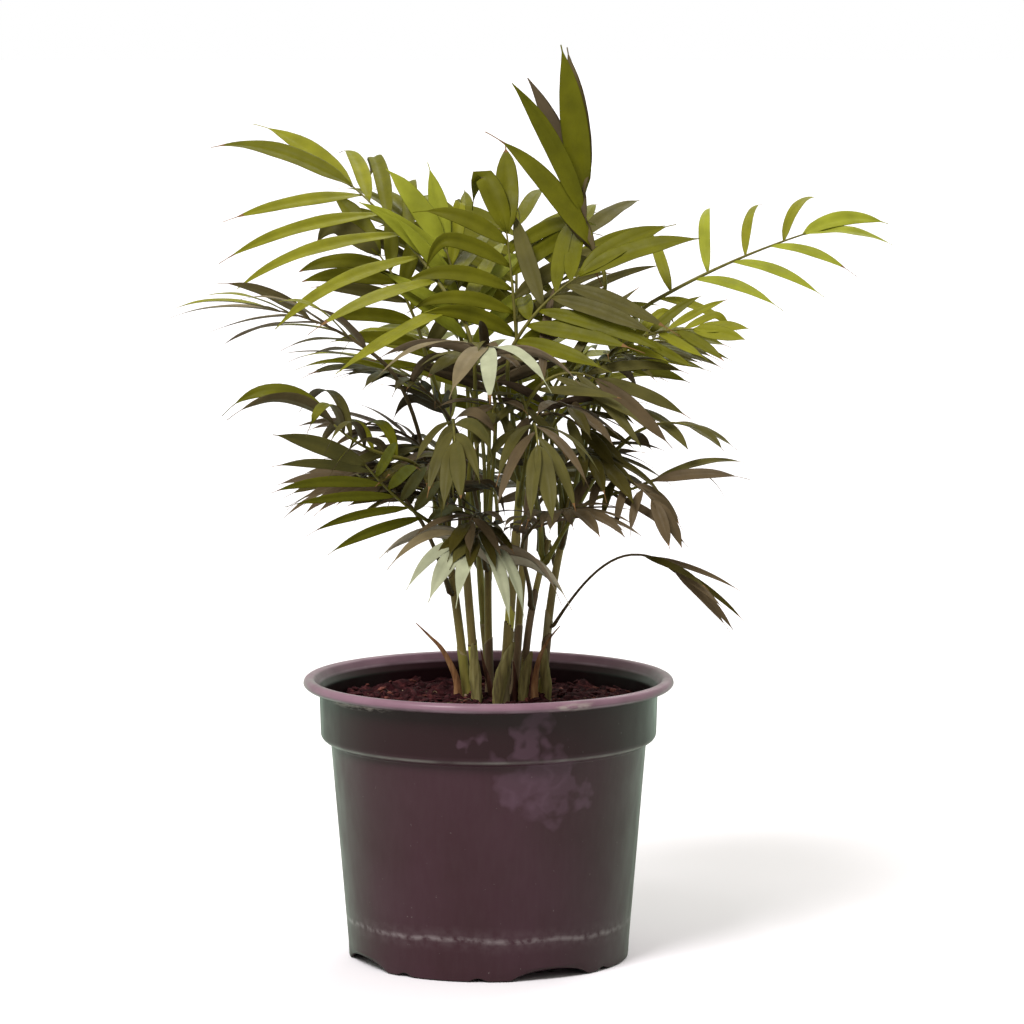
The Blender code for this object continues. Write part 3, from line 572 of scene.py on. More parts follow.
def cane_solid(cane):
    """The plain cane of the source, with a flared foot."""
    line = cane_line(cane)
    shares = list(np.linspace(0.0, 1.0, len(line)))
    radii = [cane_radius(cane, t) for t in shares]
    rise = CANE_FLARE_HEIGHT / (line[-1][2] - line[0][2])
    line.insert(1, line[0] + (line[1] - line[0]) * rise * (len(shares) - 1))
    radii.insert(1, cane_radius(cane, rise))
    radii[0] *= CANE_FLARE
    return tube_solid(line, radii, CANE_SIDES, flat_ends=True)


def rib_solid(frond, swing=0.0, grow=0.0):
    """A frond's plain stalk and rib in the source, as one thin tube."""
    stalk, rib = stalk_line(frond, swing), rib_line(frond)
    points = stalk + rib[1:]
    radii = list(np.linspace(STALK_RADIUS, BLADE_RADIUS, len(stalk)))
    radii += list(np.linspace(BLADE_RADIUS, TIP_RADIUS, len(rib)))[1:]
    return tube_solid(points, [r + grow for r in radii], RIB_SIDES)


def across_at(line, index):
    """The side and normal directions of a sheath at a point of its line, level at the first."""
    way = unit(line[min(index + 1, len(line) - 1)] - line[max(index - 1, 0)]) if index else UP
    side = unit(np.cross(way, SHEATH_SIDE))
    return side, unit(np.cross(side, way))


def sheath_solid(points, width):
    """The plain dry sheath of the source."""
    points = [np.array(p, float) for p in points]
    verts = []
    for index, point in enumerate(points):
        half = width / 2 * (1 - index / (len(points) - 1)) ** 1.3 + SHEATH_THREAD
        side, normal = across_at(points, index)
        verts += [point + side * half, point - side * half, point + normal * SHEATH_THICKNESS]
    total = len(verts)
    faces = [(0, 2, 1), (total - 3, total - 2, total - 1), *ring_faces(total, 3)]
    return [v * MM for v in verts], faces


def bvh_tree(solid):
    """The tree of a solid's faces."""
    return BVHTree.FromPolygons([Vector(v) for v in solid[0]], solid[1])


class Space:
    """The plain solids placed so far, with a test for room beside them."""

    def __init__(self):
        self.owners, self.lows, self.highs, self.trees = [], [], [], []

    def add(self, owner, solid):
        """Takes in one solid of a sub-part."""
        self.owners.append(owner)
        self.lows.append(np.min(solid[0], axis=0))
        self.highs.append(np.max(solid[0], axis=0))
        self.trees.append(bvh_tree(solid))

    def clear(self, owner, solid):
        """Whether a solid keeps clear of every other sub-part."""
        low, high = np.min(solid[0], axis=0), np.max(solid[0], axis=0)
        if low[2] < (SOIL_LEVEL + GAP) and math.hypot(*low[:2]) < RIM_RADIUS:
            return False
        near = np.all(np.array(self.lows) <= high, axis=1) & np.all(np.array(self.highs) >= low, axis=1)
        near = [index for index in np.nonzero(near)[0] if self.owners[index] != owner]
        tree = bvh_tree(solid) if near else None
        return not any(tree.overlap(self.trees[index]) for index in near)


def settled_frond(space, name, frond):
    """The frond and the swing of its stalk at which stalk and rib keep clear, or None."""
    for rise, swing in product(RISES, SWINGS):
        moved = frond._replace(z=frond.z + rise, x=frond.x + rise * 0.3)
        if space.clear(name, rib_solid(moved, swing, grow=ROOM)):
            return moved, swing
    return None


def settle_leaflets(space, name, rows, sag):
    """The rows of leaflets that find room, each turned aside or shortened until it keeps clear."""
    kept = []
    for foot, way, normal, tangent, length, width in rows:
        across = unit(np.cross(way, normal))
        for share, lift, aside in product(LENGTH_SHARES, LIFTS, ASIDES):
            now = turned(turned(way, across, lift), normal, aside)
            face = unit(np.cross(unit(np.cross(now, normal)), now))
            tried = (foot, now, face, tangent, length * share, width)
            if space.clear(name, leaflet_solid(tried, sag, grow=ROOM)):
                space.add(name, leaflet_solid(tried, sag))
                kept.append(tried)
                break
    return kept


def grown_fronds():
    """Every frond as the source places it: name, index, row, swing and the rows of its leaflets."""
    space = Space()
    for index, cane in enumerate(CANES, 1):
        space.add(f"cane_{index:02d}", cane_solid(cane))
    for index, (points, width) in enumerate(SHEATHS, 1):
        space.add(f"dry_sheath_{index:02d}", sheath_solid(points, width))
    grown = grown_from(space, 1, (*FRONDS, *back_fronds()))
    filled_between(space, grown)
    return grown + grown_from(space, len(FRONDS) + BACK_COUNT + 1, inner_fronds())


def grown_from(space, first, fronds):
    """Some fronds placed in the space: first their stalks and ribs, then their leaflets."""
    settled = []
    for index, frond in enumerate(fronds, first):
        name = f"frond_{index:02d}"
        found = settled_frond(space, name, frond)
        if found:
            settled.append((name, index, *found))
            space.add(name, rib_solid(*found))
    grown = []
    for name, index, frond, swing in settled:
        rows = leaflet_rows(frond, random.Random(LEAF_SEED + index))
        grown.append((name, index, frond, swing, settle_leaflets(space, name, rows, frond.sag)))
    return grown


def filled_between(space, grown):
    """Narrower leaflets between the source's own, on the fronds in the middle of the crown."""
    for name, index, frond, swing, rows in grown:
        if index in BETWEEN_FRONDS:
            between = []
            for one, other in zip(rows[:-2], rows[2:]):
                ways = (unit(a + b) for a, b in zip(one[1:4], other[1:4]))
                size = (one[4] + other[4]) * BETWEEN_LENGTH, one[5] * BETWEEN_WIDTH
                between.append(((one[0] + other[0]) / 2, *ways, *size))
            rows += settle_leaflets(space, name, between, frond.sag)


def linked(name, data, group=None):
    """A new object in the scene, or in a group of it."""
    obj = bpy.data.objects.new(name, data)
    (group or bpy.context.scene.collection).objects.link(obj)
    return obj


class Heap:
    """Vertices, faces and slots gathered for one piece. Its add gives back the heap."""

    def __init__(self):
        self.verts, self.faces, self.slots = [], [], []

    def add(self, verts, faces, slot=0):
        """Takes in a shape, with one slot for all its faces or one for each."""
        base = len(self.verts)
        self.verts += [tuple(v) for v in verts]
        self.faces += [tuple(base + k for k in face) for face in faces]
        self.slots += slot if isinstance(slot, list) else [slot] * len(faces)
        return self

    def piece(self, name, materials, slot, nodes=()):
        """Makes the piece, which rides on the root and stands for its nodes."""
        mesh = bpy.data.meshes.new(name)
        mesh.from_pydata(self.verts, [], self.faces)
        for made in materials:
            mesh.materials.append(made)
        mesh.polygons.foreach_set("material_index", self.slots)
        mesh.polygons.foreach_set("use_smooth", [True] * len(self.faces))
        obj = linked(name, mesh)
        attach(obj, "root")
        if nodes:
            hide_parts(*nodes)
        return obj


def node_tree(name, colour, roughness):
    """A material with its nodes, its links and its shader."""
    made = bpy.data.materials.new(name)
    made.use_nodes = True
    tree = made.node_tree
    shader = tree.nodes["Principled BSDF"]
    shader.inputs["Base Color"].default_value = (*colour, 1.0)
    shader.inputs["Roughness"].default_value = roughness
    return made, tree, shader


def place_noise(tree, scale, detail=3.0, stretch=(1, 1, 1)):
    """A noise texture by place on the object."""
    coords = tree.nodes.new("ShaderNodeTexCoord")
    mapping = tree.nodes.new("ShaderNodeMapping")
    mapping.inputs["Scale"].default_value = stretch
    texture = tree.nodes.new("ShaderNodeTexNoise")
    texture.inputs["Scale"].default_value = scale
    texture.inputs["Detail"].default_value = detail
    tree.links.new(coords.outputs["Object"], mapping.inputs["Vector"])
    tree.links.new(mapping.outputs["Vector"], texture.inputs["Vector"])
    return texture.outputs["Fac"]


def ramp(tree, source, stops):
    """A colour ramp over a number, from pairs of a place and a colour."""
    node = tree.nodes.new("ShaderNodeValToRGB")
    elements = node.color_ramp.elements
    while len(elements) < len(stops):
        elements.new(0.5)
    for element, (place, colour) in zip(elements, stops):
        element.position = place
        element.color = (*colour, 1.0) if len(colour) == 3 else colour
    tree.links.new(source, node.inputs["Fac"])
    return node.outputs["Color"]


def noise_ramp(tree, stops, *grain):
    """A colour ramp over a noise, whose scale, detail and stretch are given."""
    return ramp(tree, place_noise(tree, *grain), stops)


def mask(tree, low, high, *grain):
    """Black to white between two levels of a noise."""
    return noise_ramp(tree, ((low, BLACK), (high, WHITE)), *grain)


def blend(tree, factor, first, second):
    """Two colours mixed, where each is a socket or a plain colour."""
    node = tree.nodes.new("ShaderNodeMix")
    node.data_type = "RGBA"
    tree.links.new(factor, node.inputs["Factor"])
    for socket, value in ((node.inputs[6], first), (node.inputs[7], second)):
        if isinstance(value, tuple):
            socket.default_value = (*value, 1.0)
        else:
            tree.links.new(value, socket)
    return node.outputs[2]


def bumped(tree, shader, source, strength, distance):
    """Bump on the shader from a number."""
    node = tree.nodes.new("ShaderNodeBump")
    node.inputs["Strength"].default_value = strength
    node.inputs["Distance"].default_value = distance
    tree.links.new(source, node.inputs["Height"])
    tree.links.new(node.outputs["Normal"], shader.inputs["Normal"])


def scaled(colour, factor):
    """A colour made lighter or darker."""
    return tuple(min(1.0, c * factor) for c in colour)


def skin(name, colour, roughness, stops, grain, relief=(), specular=None):
    """A material that runs through colours by a noise, with fine relief by another."""
    made, tree, shader = node_tree(name, colour, roughness)
    tree.links.new(noise_ramp(tree, stops, *grain), shader.inputs["Base Color"])
    if specular:
        shader.inputs["Specular IOR Level"].default_value = specular
    if relief:
        strength, distance, *finer = relief
        bumped(tree, shader, place_noise(tree, *finer), strength, distance)
    return made


def leaf_material(name, colour, roughness=0.50):
    """A leaf's skin: its own colour, faintly mottled, with fine relief."""
    stops = ((0.30, scaled(colour, 0.84)), (0.70, scaled(colour, 1.16)))
    made = skin(name, colour, roughness, stops, (130.0, 4.0), (0.25, 0.0002, 900.0, 2.0), 0.12)
    tree = made.node_tree
    gloss = noise_ramp(tree, ((0.3, (roughness - 0.06,) * 3), (0.7, (roughness + 0.10,) * 3)), 400.0)
    tree.links.new(gloss, tree.nodes["Principled BSDF"].inputs["Roughness"])
    return made


def stem_material(name, colour, dark, roughness=0.5):
    """A stalk's or cane's skin: streaks along it, with fine relief."""
    grain, relief = (420.0, 3.0, (1, 1, 0.12)), (0.35, 0.0003, 900.0, 2.0, (1, 1, 0.15))
    return skin(name, colour, roughness, ((0.32, dark), (0.62, colour)), grain, relief, 0.25)


def outline_at(share):
    """The leaflet's width at a share of its length."""
    places, widths = zip(*FINE_OUTLINE)
    return float(np.interp(share, places, widths))


def light_turn(way, normal, limit):
    """The degrees to turn a leaflet about itself, so that a face of it looks to the light."""
    here = unit(way)
    level = unit(normal - here * np.dot(normal, here))
    wanted = unit(LIGHT_WAY - here * np.dot(LIGHT_WAY, here))
    turn = math.degrees(math.atan2(np.dot(np.cross(level, wanted), here), np.dot(level, wanted)))
    if abs(turn) > 90:
        turn -= math.copysign(180, turn)
    return max(-limit, min(limit, turn))


def fine_leaflet(row, index, sag, rng):
    """A leaflet's closed blade: its vertices and faces, and for each face its side and place."""
    foot, way, normal, tangent, length, width = row
    face = light_turn(way, normal, FACE_TURNS.get(index, LEAST_TURN))
    twist, droop = rng.uniform(*TWISTS), rng.uniform(*DROOPS)
    width *= rng.uniform(*(BROAD_WIDTHS if index in BROAD else NARROW_WIDTHS))
    reach, curl_at = rng.uniform(*TAPER_ENDS), rng.uniform(*CURL_STARTS)
    curl_by = rng.uniform(*CURL_BENDS) if way[2] > 0.3 and rng.random() < CURLED else 0.0
    if index in UNCURLED:
        curl_by, droop = 0.0, 0.3 * droop
    wave, phase, vee = rng.uniform(*WAVES), rng.uniform(*PHASES), rng.uniform(*VEES)
    keel = max(length * 0.0105, 0.34)
    shares = np.linspace(0.0, 1.0, FINE_STATIONS) ** 0.92
    verts = []
    point, before = np.array(foot, float), 0.0
    for share in shares:
        ways = []
        for at in ((share + before) / 2, share):
            bend = sag * at + droop * at**3 + curl_by * max(0.0, at - curl_at) / (1 - curl_at)
            ways.append(unit(way + tangent * LEAF_SWEEP * at - UP * bend))
        now, here = ways
        point = point + now * length * (share - before)
        before = share
        side = unit(np.cross(here, normal))
        side = turned(side, here, twist * share + face * min(1.0, 5 * share))
        lift = unit(np.cross(side, here))
        half = width * max(THREAD, outline_at(min(1.0, share / reach))) / 2
        thick = keel * (0.25 + 0.75 * (1 - share))
        ripple = math.sin(2.2 * math.tau * share + phase)
        for place, ridge, depth in BLADE_SECTION:
            rise = half * (vee * abs(place) - 0.10 * abs(place) ** 2 + ridge)
            rise += half * wave * place * ripple
            rise -= GROOVE * half if not (place or depth) else thick * depth
            verts.append((point + side * half * place + lift * rise) * MM)
    sides = len(BLADE_SECTION)
    kinds = [(k < TOP_FACES, share / reach) for share in shares[:-1] for k in range(sides)]
    return verts, tube_faces(len(verts), sides, True), kinds + [(True, 0.0), (True, 1.0)]


def frond_tone(index):
    """The tone of a frond, by its number."""
    if index <= len(FROND_TONES):
        return FROND_TONES[index - 1]
    return INNER_TONES[index % len(INNER_TONES)]


def build_foliage(grown):
    """The leaflets, in one piece for each tone."""
    tip = leaf_material("dry tip", (0.20, 0.105, 0.040), 0.6)
    skins, heaps, nodes = {}, {}, {}
    for name, tone in TONES.items():
        upper = leaf_material(f"leaf {name} upper", tone.upper)
        skins[name] = (upper, leaf_material(f"leaf {name} under", tone.under, 0.58))
        heaps[name], nodes[name] = Heap(), []
    for name, index, frond, swing, rows in grown:
        tone = frond_tone(index)
        if index <= len(FROND_TONES):
            nodes[tone].append(name)
        for number, row in enumerate(rows):
            rng = random.Random(index * 1000 + number)
            verts, faces, kinds = fine_leaflet(row, index, frond.sag, rng)
            mixed = 2 if rng.random() < MIXED_SHARE else 0
            dry = rng.random() < DRY_SHARE
            slots = [4 if dry and at > TIP_SHARE else mixed + (not upper) for upper, at in kinds]
            heaps[tone].add(verts, faces, slots)
    for name, tone in TONES.items():
        heaps[name].piece(f"leaflets_{name}", (*skins[name], *skins[tone.other], tip), "frond", nodes[name])


def build_stalks(grown):
    """Stalks and ribs, tapering from the cane to the last leaflets."""
    green = stem_material("stalk green", (0.165, 0.150, 0.024), (0.100, 0.082, 0.014))
    brown = stem_material("stalk brown", (0.110, 0.076, 0.034), (0.062, 0.040, 0.016))
    heap = Heap()
    for name, index, frond, swing, rows in grown:
        stalk, rib = stalk_line(frond, swing, FINE_STEPS), rib_line(frond, FINE_STEPS)
        axis = cane_line(CANES[frond.cane], AXIS_POINTS)
        inner = axis[min(int(frond.share * (AXIS_POINTS - 1)), AXIS_POINTS - 1)] - UP * 1.5
        thin = 0.62 if index == THIN_FROND else 1.0
        radii = [1.15 * thin]
        radii += [thin * (0.72 + 0.45 * (1 - t) ** 6) for t in np.linspace(0, 1, len(stalk))]
        radii += [thin * (0.72 - 0.42 * t) for t in np.linspace(0, 1, len(rib))][1:]
        shape = tube_solid([inner] + stalk + rib[1:], radii, 8)
        heap.add(*shape, int(frond_tone(index) in ("brown", "mauve", "deep")))
    heap.piece("stalks_and_ribs", (green, brown), "frond")


def sleeved(cane, marks, rng):
    """A cane's fine tube with slanting sleeve mouths, and each face's sleeve and depth below its mouth."""
    line = cane_line(cane, CANE_FINE)
    height = line[-1][2] - line[0][2]
    marks = (0.0, *marks, 200.0)
    slants = [0.0] + [rng.uniform(*MOUTH_SLANTS) for _ in marks[2:]] + [0.0]
    turns = [rng.uniform(0, math.tau) for _ in marks]

    def sleeve(ring, turn):
        """A place on the tube: its height, sleeve, depth below the mouth, and share of the sleeve."""
        up = line[ring][2] - line[0][2]
        edges = [mark + slant * math.cos(turn - lean) for mark, slant, lean in zip(marks, slants, turns)]
        edges[-1] = max(edges[-1], height)
        zone = max([0] + [k for k, edge in enumerate(edges[:-1]) if up >= edge])
        top = min(edges[zone + 1], height + 1)
        return up, zone, edges[zone + 1] - up, (up - edges[zone]) / (top - edges[zone])

    verts, faces = tube_solid(line, [1.0] * len(line), CANE_FINE_SIDES, flat_ends=True)
    shaped, places = [], []
    for number, vert in enumerate(verts):
        ring, k = divmod(number, CANE_FINE_SIDES)
        up, _, _, rise = sleeve(ring, math.tau * k / CANE_FINE_SIDES)
        radius = cane_radius(cane, up / height) * (0.90 + 0.12 * max(0.0, rise) ** 1.5)
        radius *= 1 + (CANE_FLARE - 1) * max(0.0, 1 - up / CANE_FLARE_HEIGHT)
        middle = line[ring] * MM
        shaped.append(middle + (vert - middle) * radius)
    for number in range(len(faces)):
        ring, k = divmod(number, CANE_FINE_SIDES)
        places.append(sleeve(min(ring, CANE_FINE - 1), math.tau * (k + 0.5) / CANE_FINE_SIDES)[1:3])
    return shaped, faces, places


def build_canes():
    """The canes: sleeves of leaf sheath that end in slanting mouths, in streaked greens and browns."""
    names = list(CANE_COLOURS)
    skins = [stem_material(f"cane {name}", *pair) for name, pair in CANE_COLOURS.items()]
    skins.append(stem_material("cane ring", (0.130, 0.080, 0.040), (0.070, 0.040, 0.020), 0.7))
    skins.append(stem_material("sleeve mouth", (0.380, 0.300, 0.160), (0.220, 0.160, 0.080), 0.7))
    for index, (cane, (marks, zones)) in enumerate(zip(CANES, CANE_ZONES), 1):
        verts, faces, places = sleeved(cane, marks, random.Random(40 + index))
        slots = []
        for zone, depth in places:
            ring = len(names) if zone % 2 else len(names) + 1
            slots.append(ring if depth < RING_HEIGHT else names.index(zones[min(zone, len(zones) - 1)]))
        heap = Heap().add(verts, faces, slots)
        heap.piece(f"palm_cane_{index:02d}", skins, "cane", (f"cane_{index:02d}",))


def husk(points, width, curl, seed, tongue=False):
    """A husk: a strip curled across its width that narrows to a thread, or a tongue with a full middle."""
    rng = random.Random(seed)
    points = [np.array(p, float) for p in points]
    line = [spline_point(points, mark) for mark in np.linspace(0, len(points) - 1, HUSK_STEPS)]
    verts = []
    for index, point in enumerate(line):
        share = index / (HUSK_STEPS - 1)
        full = math.sin(math.pi * (0.20 + 0.80 * share)) ** 0.8 if tongue else (1 - share) ** 1.3
        half = width / 2 * full + 0.16
        half *= 1 + 0.125 * noise.noise(Vector((share * 9, width, rng.random() * 0.2)))
        side, normal = across_at(line, index)
        bend = curl * (1 - share * 0.5)
        ring = []
        for k in range(HUSK_ACROSS):
            arc = (-1 + 2 * k / (HUSK_ACROSS - 1)) * bend
            offset = side * half * math.sin(arc) / max(bend, 0.2)
            ring.append(point + (offset + normal * half * (math.cos(arc) - 1) / max(bend, 0.2)))
        verts += [place + normal * HUSK_THICKNESS / 2 for place in ring]
        verts += [place - normal * HUSK_THICKNESS / 2 for place in ring[::-1]]
    return [v * MM for v in verts], tube_faces(len(verts), 2 * HUSK_ACROSS)


def spline_point(points, mark):
    """A point on the smooth curve through points, at a place counted in points."""
    low = min(int(mark), len(points) - 2)
    t = mark - low
    p0, p1 = points[max(low - 1, 0)], points[low]
    p2, p3 = points[low + 1], points[min(low + 2, len(points) - 1)]
    return 0.5 * (
        2 * p1 + (p2 - p0) * t + (2 * p0 - 5 * p1 + 4 * p2 - p3) * t**2 + (3 * p1 - p0 - 3 * p2 + p3) * t**3
    )


def build_sheaths():
    """The dry sheaths that curl away from the foot of the clump, and torn flaps against the canes."""
    skins = []
    for name, dark, middle, light in HUSK_LOOKS:
        stops, grain = ((0.3, dark), (0.5, middle), (0.72, light)), (700.0, 3.0, (1, 1, 0.15))
        skins.append(skin(name, middle, 0.75, stops, grain, (0.6, 0.0004, 1100.0, 2.0, (1, 1, 0.12))))
    for index, (points, width) in enumerate(SHEATHS, 1):
        heap = Heap().add(*husk(points, width * HUSK_WIDTH, 0.9, 60 + index))
        heap.piece(f"husk_{index:02d}", skins[:1], "dry_sheath", (f"dry_sheath_{index:02d}",))
    heap = Heap()
    for index, (look, points, width) in enumerate(FLAPS, 1):
        green = look == "green"
        heap.add(*husk(points, width, 1.1, 70 + index, green), int(green))
    heap.piece("husk_flaps", skins[1:], "dry_sheath")


def rounded(profile, radii, steps=5):
    """A profile with its corners rounded by the given radii."""
    out = []
    for index, (here, radius) in enumerate(zip(profile, radii)):
        here = np.array(here)
        if radius <= 0 or index in (0, len(profile) - 1):
            out.append(tuple(here))
            continue
        before, after = np.array(profile[index - 1]), np.array(profile[index + 1])
        back = min(radius, 0.45 * np.linalg.norm(before - here))
        on = min(radius, 0.45 * np.linalg.norm(after - here))
        a, b = here + unit(before - here) * back, here + unit(after - here) * on
        for t in np.linspace(0, 1, steps):
            out.append(tuple(a * (1 - t) ** 2 + here * 2 * t * (1 - t) + b * t**2))
    return out


def pot_section():
    """The pot's section: radius and height, and how much each corner is rounded."""
    skirt, body, collar = FOOT_RADIUS - WALL, BODY_TOP_RADIUS - WALL, COLLAR_RADIUS - WALL
    lip, floor = POT_HEIGHT - RIM_LIP, FLOOR_LEVEL + FLOOR_THICKNESS
    points = [
        (0.0, 0.0, 0), (PAD_RADIUS, 0.0, 0.3), (PAD_RADIUS + 0.0010, FLOOR_LEVEL, 0.5),
        (skirt - 0.0004, FLOOR_LEVEL, 0.6), (skirt, 0.0, 0.2), (FOOT_RADIUS, 0.0, 0.4),
        (FOOT_RADIUS + 0.0002, 0.0050, 0.6), (FOOT_RADIUS + 0.0006, 0.0100, 1.5),
        (BODY_TOP_RADIUS, COLLAR_FOOT - STEP_DROP, 0.5),
        (COLLAR_RADIUS - 0.0008, COLLAR_FOOT - 0.0002, 0.6),
        (COLLAR_RADIUS, COLLAR_FOOT + 0.0010, 0.8), (COLLAR_RADIUS + 0.0005, lip - 0.0006, 0.5),
        (RIM_RADIUS - 0.0014, lip, 0.6), (RIM_RADIUS, lip + 0.0012, 1.0),
        (RIM_RADIUS - 0.0004, POT_HEIGHT - 0.0008, 1.0), (RIM_RADIUS - 0.0016, POT_HEIGHT, 0.9),
        (RIM_RADIUS - RIM_WIDTH + 0.0014, POT_HEIGHT - 0.0003, 0.9),
        (RIM_RADIUS - RIM_WIDTH, POT_HEIGHT - 0.0026, 0.9), (collar + 0.0006, lip - 0.0016, 0.8),
        (collar, COLLAR_FOOT + 0.0014, 0.8), (body, COLLAR_FOOT - STEP_DROP, 0.8),
        (skirt + 0.0006, floor + 0.0010, 0.5), (skirt - 0.0010, floor, 0.5), (0.0, floor, 0),
    ]
    return rounded([p[:2] for p in points], [p[2] * MM for p in points])


def foot_lift(heading):
    """How far the skirt's lower edge is raised at a heading: arches, and narrow notches by them."""
    turn = 360 / ARCHES
    place = (heading - ARCH_HEADING + turn / 2) % turn - turn / 2
    lift = 0.0
    if abs(place) < ARCH_HALF_WIDTH:
        lift = ARCH_LIFT * math.cos(math.pi / 2 * place / ARCH_HALF_WIDTH) ** 0.55
    for notch in NOTCHES:
        away = abs(place - notch)
        if away < NOTCH_HALF_WIDTH:
            lift = max(lift, NOTCH_LIFT * math.cos(math.pi / 2 * away / NOTCH_HALF_WIDTH) ** 0.7)
    return lift


def pot_material():
    """Dark brown-purple moulded plastic with stains, a scuffed line, edges made pale partly by wear and
    partly by painted highlights, a lilac rim with a painted reflection, and painted shade inside.
    """
    made, tree, shader = node_tree("pot plastic", (0.064, 0.031, 0.038), 0.36)
    links = tree.links
    spot = tree.nodes.new("ShaderNodeTexCoord").outputs["Object"]
    parts = tree.nodes.new("ShaderNodeSeparateXYZ")
    links.new(spot, parts.inputs["Vector"])
    height = parts.outputs["Z"]

    def step(node_type, kind, *values):
        """One step of arithmetic on numbers or on places."""
        node = tree.nodes.new(node_type)
        node.operation = kind
        for socket, value in zip(node.inputs, values):
            if isinstance(value, (int, float, tuple)):
                socket.default_value = value
            else:
                links.new(value, socket)
        return node

    def number(kind, *values, clamp=False):
        """One step of arithmetic on numbers, kept between nought and one by clamp."""
        node = step("ShaderNodeMath", kind, *values)
        node.use_clamp = clamp
        return node.outputs[0]

    def place(kind, *values, output=0):
        """One step of arithmetic on places."""
        return step("ShaderNodeVectorMath", kind, *values).outputs[output]

    def times(first, *others):
        """Numbers multiplied one by one."""
        for other in others:
            first = number("MULTIPLY", first, other)
        return first

    def fading(away, reach):
        """One at no distance, falling to nothing at a reach."""
        return number("SUBTRACT", 1.0, number("DIVIDE", away, reach), clamp=True)

    def line(level, half):
        """One where a number is nought, falling to nothing at half a width from it."""
        return fading(number("ABSOLUTE", level), half)

    def band(middle, half):
        """A line at a height on the pot."""
        return line(number("SUBTRACT", height, middle), half)

    def above(low, rise):
        """Nothing below a height, one from a rise above it."""
        return number("DIVIDE", number("SUBTRACT", height, low), rise, clamp=True)

    def blotch(source, centre, reach, low, high):
        """An uneven patch round a place on the surface."""
        near = fading(place("DISTANCE", source, centre, output="Value"), reach)
        return ramp(tree, near, ((low, BLACK), (high, WHITE)))

    cloud = tree.nodes.new("ShaderNodeTexNoise")
    cloud.inputs["Scale"].default_value = 90.0
    cloud.inputs["Detail"].default_value = 2.5
    links.new(spot, cloud.inputs["Vector"])
    shift = place("SUBTRACT", cloud.outputs["Color"], (0.5, 0.5, 0.5))
    warped = place("ADD", spot, place("MULTIPLY", shift, (4 * STAIN_WARP,) * 3))

    lip = POT_HEIGHT - RIM_LIP
    wander = times(number("SUBTRACT", place_noise(tree, 34.0), 0.5), 0.005)
    level = number("SUBTRACT", number("ADD", height, wander), SCUFF_LEVEL)
    broken = mask(tree, 0.36, 0.62, 330.0, 6.0)
    # breaks up the pale lines at the collar's foot and the rim's lower edge, which are partly wear and partly
    # painted highlights
    wear_and_highlight = noise_ramp(tree, ((0.35, (0.25,) * 3), (0.65, WHITE)), 70.0, 5.0)
    dashes = mask(tree, 0.42, 0.60, 260.0, 6.0, (1, 1, 3.5))
    away = place("DISTANCE", place("MULTIPLY", spot, (1.0, 1.0, 0.0)), (0.0, 0.0, 0.0), output="Value")
    # the inside wall, which takes painted shade below
    inside = number("LESS_THAN", away, COLLAR_RADIUS - WALL / 2)
    layers = [
        # a brushed haze, and the darker collar
        (times(mask(tree, 0.30, 0.75, 520.0, 3.0, (1, 1, 0.25)), 0.05), (0.130, 0.090, 0.105)),
        (times(above(COLLAR_FOOT, 0.002), 0.85), (0.020, 0.003, 0.007)),
    ]
    for centre, reach in STAINS:
        patch = blotch(warped, centre, reach * 1.15, 0.12, 0.45)
        layers.append((times(patch, 0.48), (0.118, 0.060, 0.094)))
    layers += [
        # the scuffed line above the foot, broken and wandering, in a faint haze; and specks
        (times(line(level, 0.0050), broken, 0.15), (0.26, 0.21, 0.23)),
        (times(line(level, 0.0013), broken, 0.55), (0.30, 0.25, 0.27)),
        (times(mask(tree, 0.745, 0.785, 820.0, 2.0), 0.3), (0.32, 0.28, 0.28)),
        # the pale line at the collar's foot, partly wear and partly a painted highlight along the ledge's
        # edge
        (times(band(COLLAR_FOOT, 0.0009), wear_and_highlight, 0.7), (0.30, 0.28, 0.27)),
        # the lilac rim, lighter partly by wear and partly by a painted reflection of the sky, with a pale
        # lower edge that is partly wear, partly a painted highlight
        (times(above(lip, 0.0016), number("ADD", place_noise(tree, 55.0, 5.0), 0.35, clamp=True)),
         (0.280, 0.158, 0.218)),
        (times(band(lip + 0.0008, 0.0007), wear_and_highlight, 0.55), (0.42, 0.31, 0.38)),
    ]
    for centre, reach in RIM_SCUFFS:
        near = blotch(spot, centre, reach, 0.05, 0.50)
        layers.append((times(near, band(centre[2], 0.0018), dashes, 0.8), (0.42, 0.36, 0.34)))
    # painted shade on the inside wall, above the collar's foot
    inside = times(inside, number("GREATER_THAN", height, COLLAR_FOOT + STEP_DROP), 0.85)
    layers.append((inside, (0.012, 0.002, 0.004)))
    colour = noise_ramp(tree, ((0.35, (0.046, 0.015, 0.023)), (0.65, (0.059, 0.021, 0.034))), 28.0, 5.0)
    for factor, tint in layers:
        colour = blend(tree, factor, colour, tint)
    links.new(colour, shader.inputs["Base Color"])
    gloss = noise_ramp(tree, ((0.3, (0.28,) * 3), (0.7, (0.44,) * 3)), 120.0, 6.0, (1, 1, 0.5))
    links.new(gloss, shader.inputs["Roughness"])
    shader.inputs["Specular IOR Level"].default_value = 0.22
    bumped(tree, shader, place_noise(tree, 260.0, 6.0, (1, 1, 0.6)), 0.10, 0.0003)
    return made


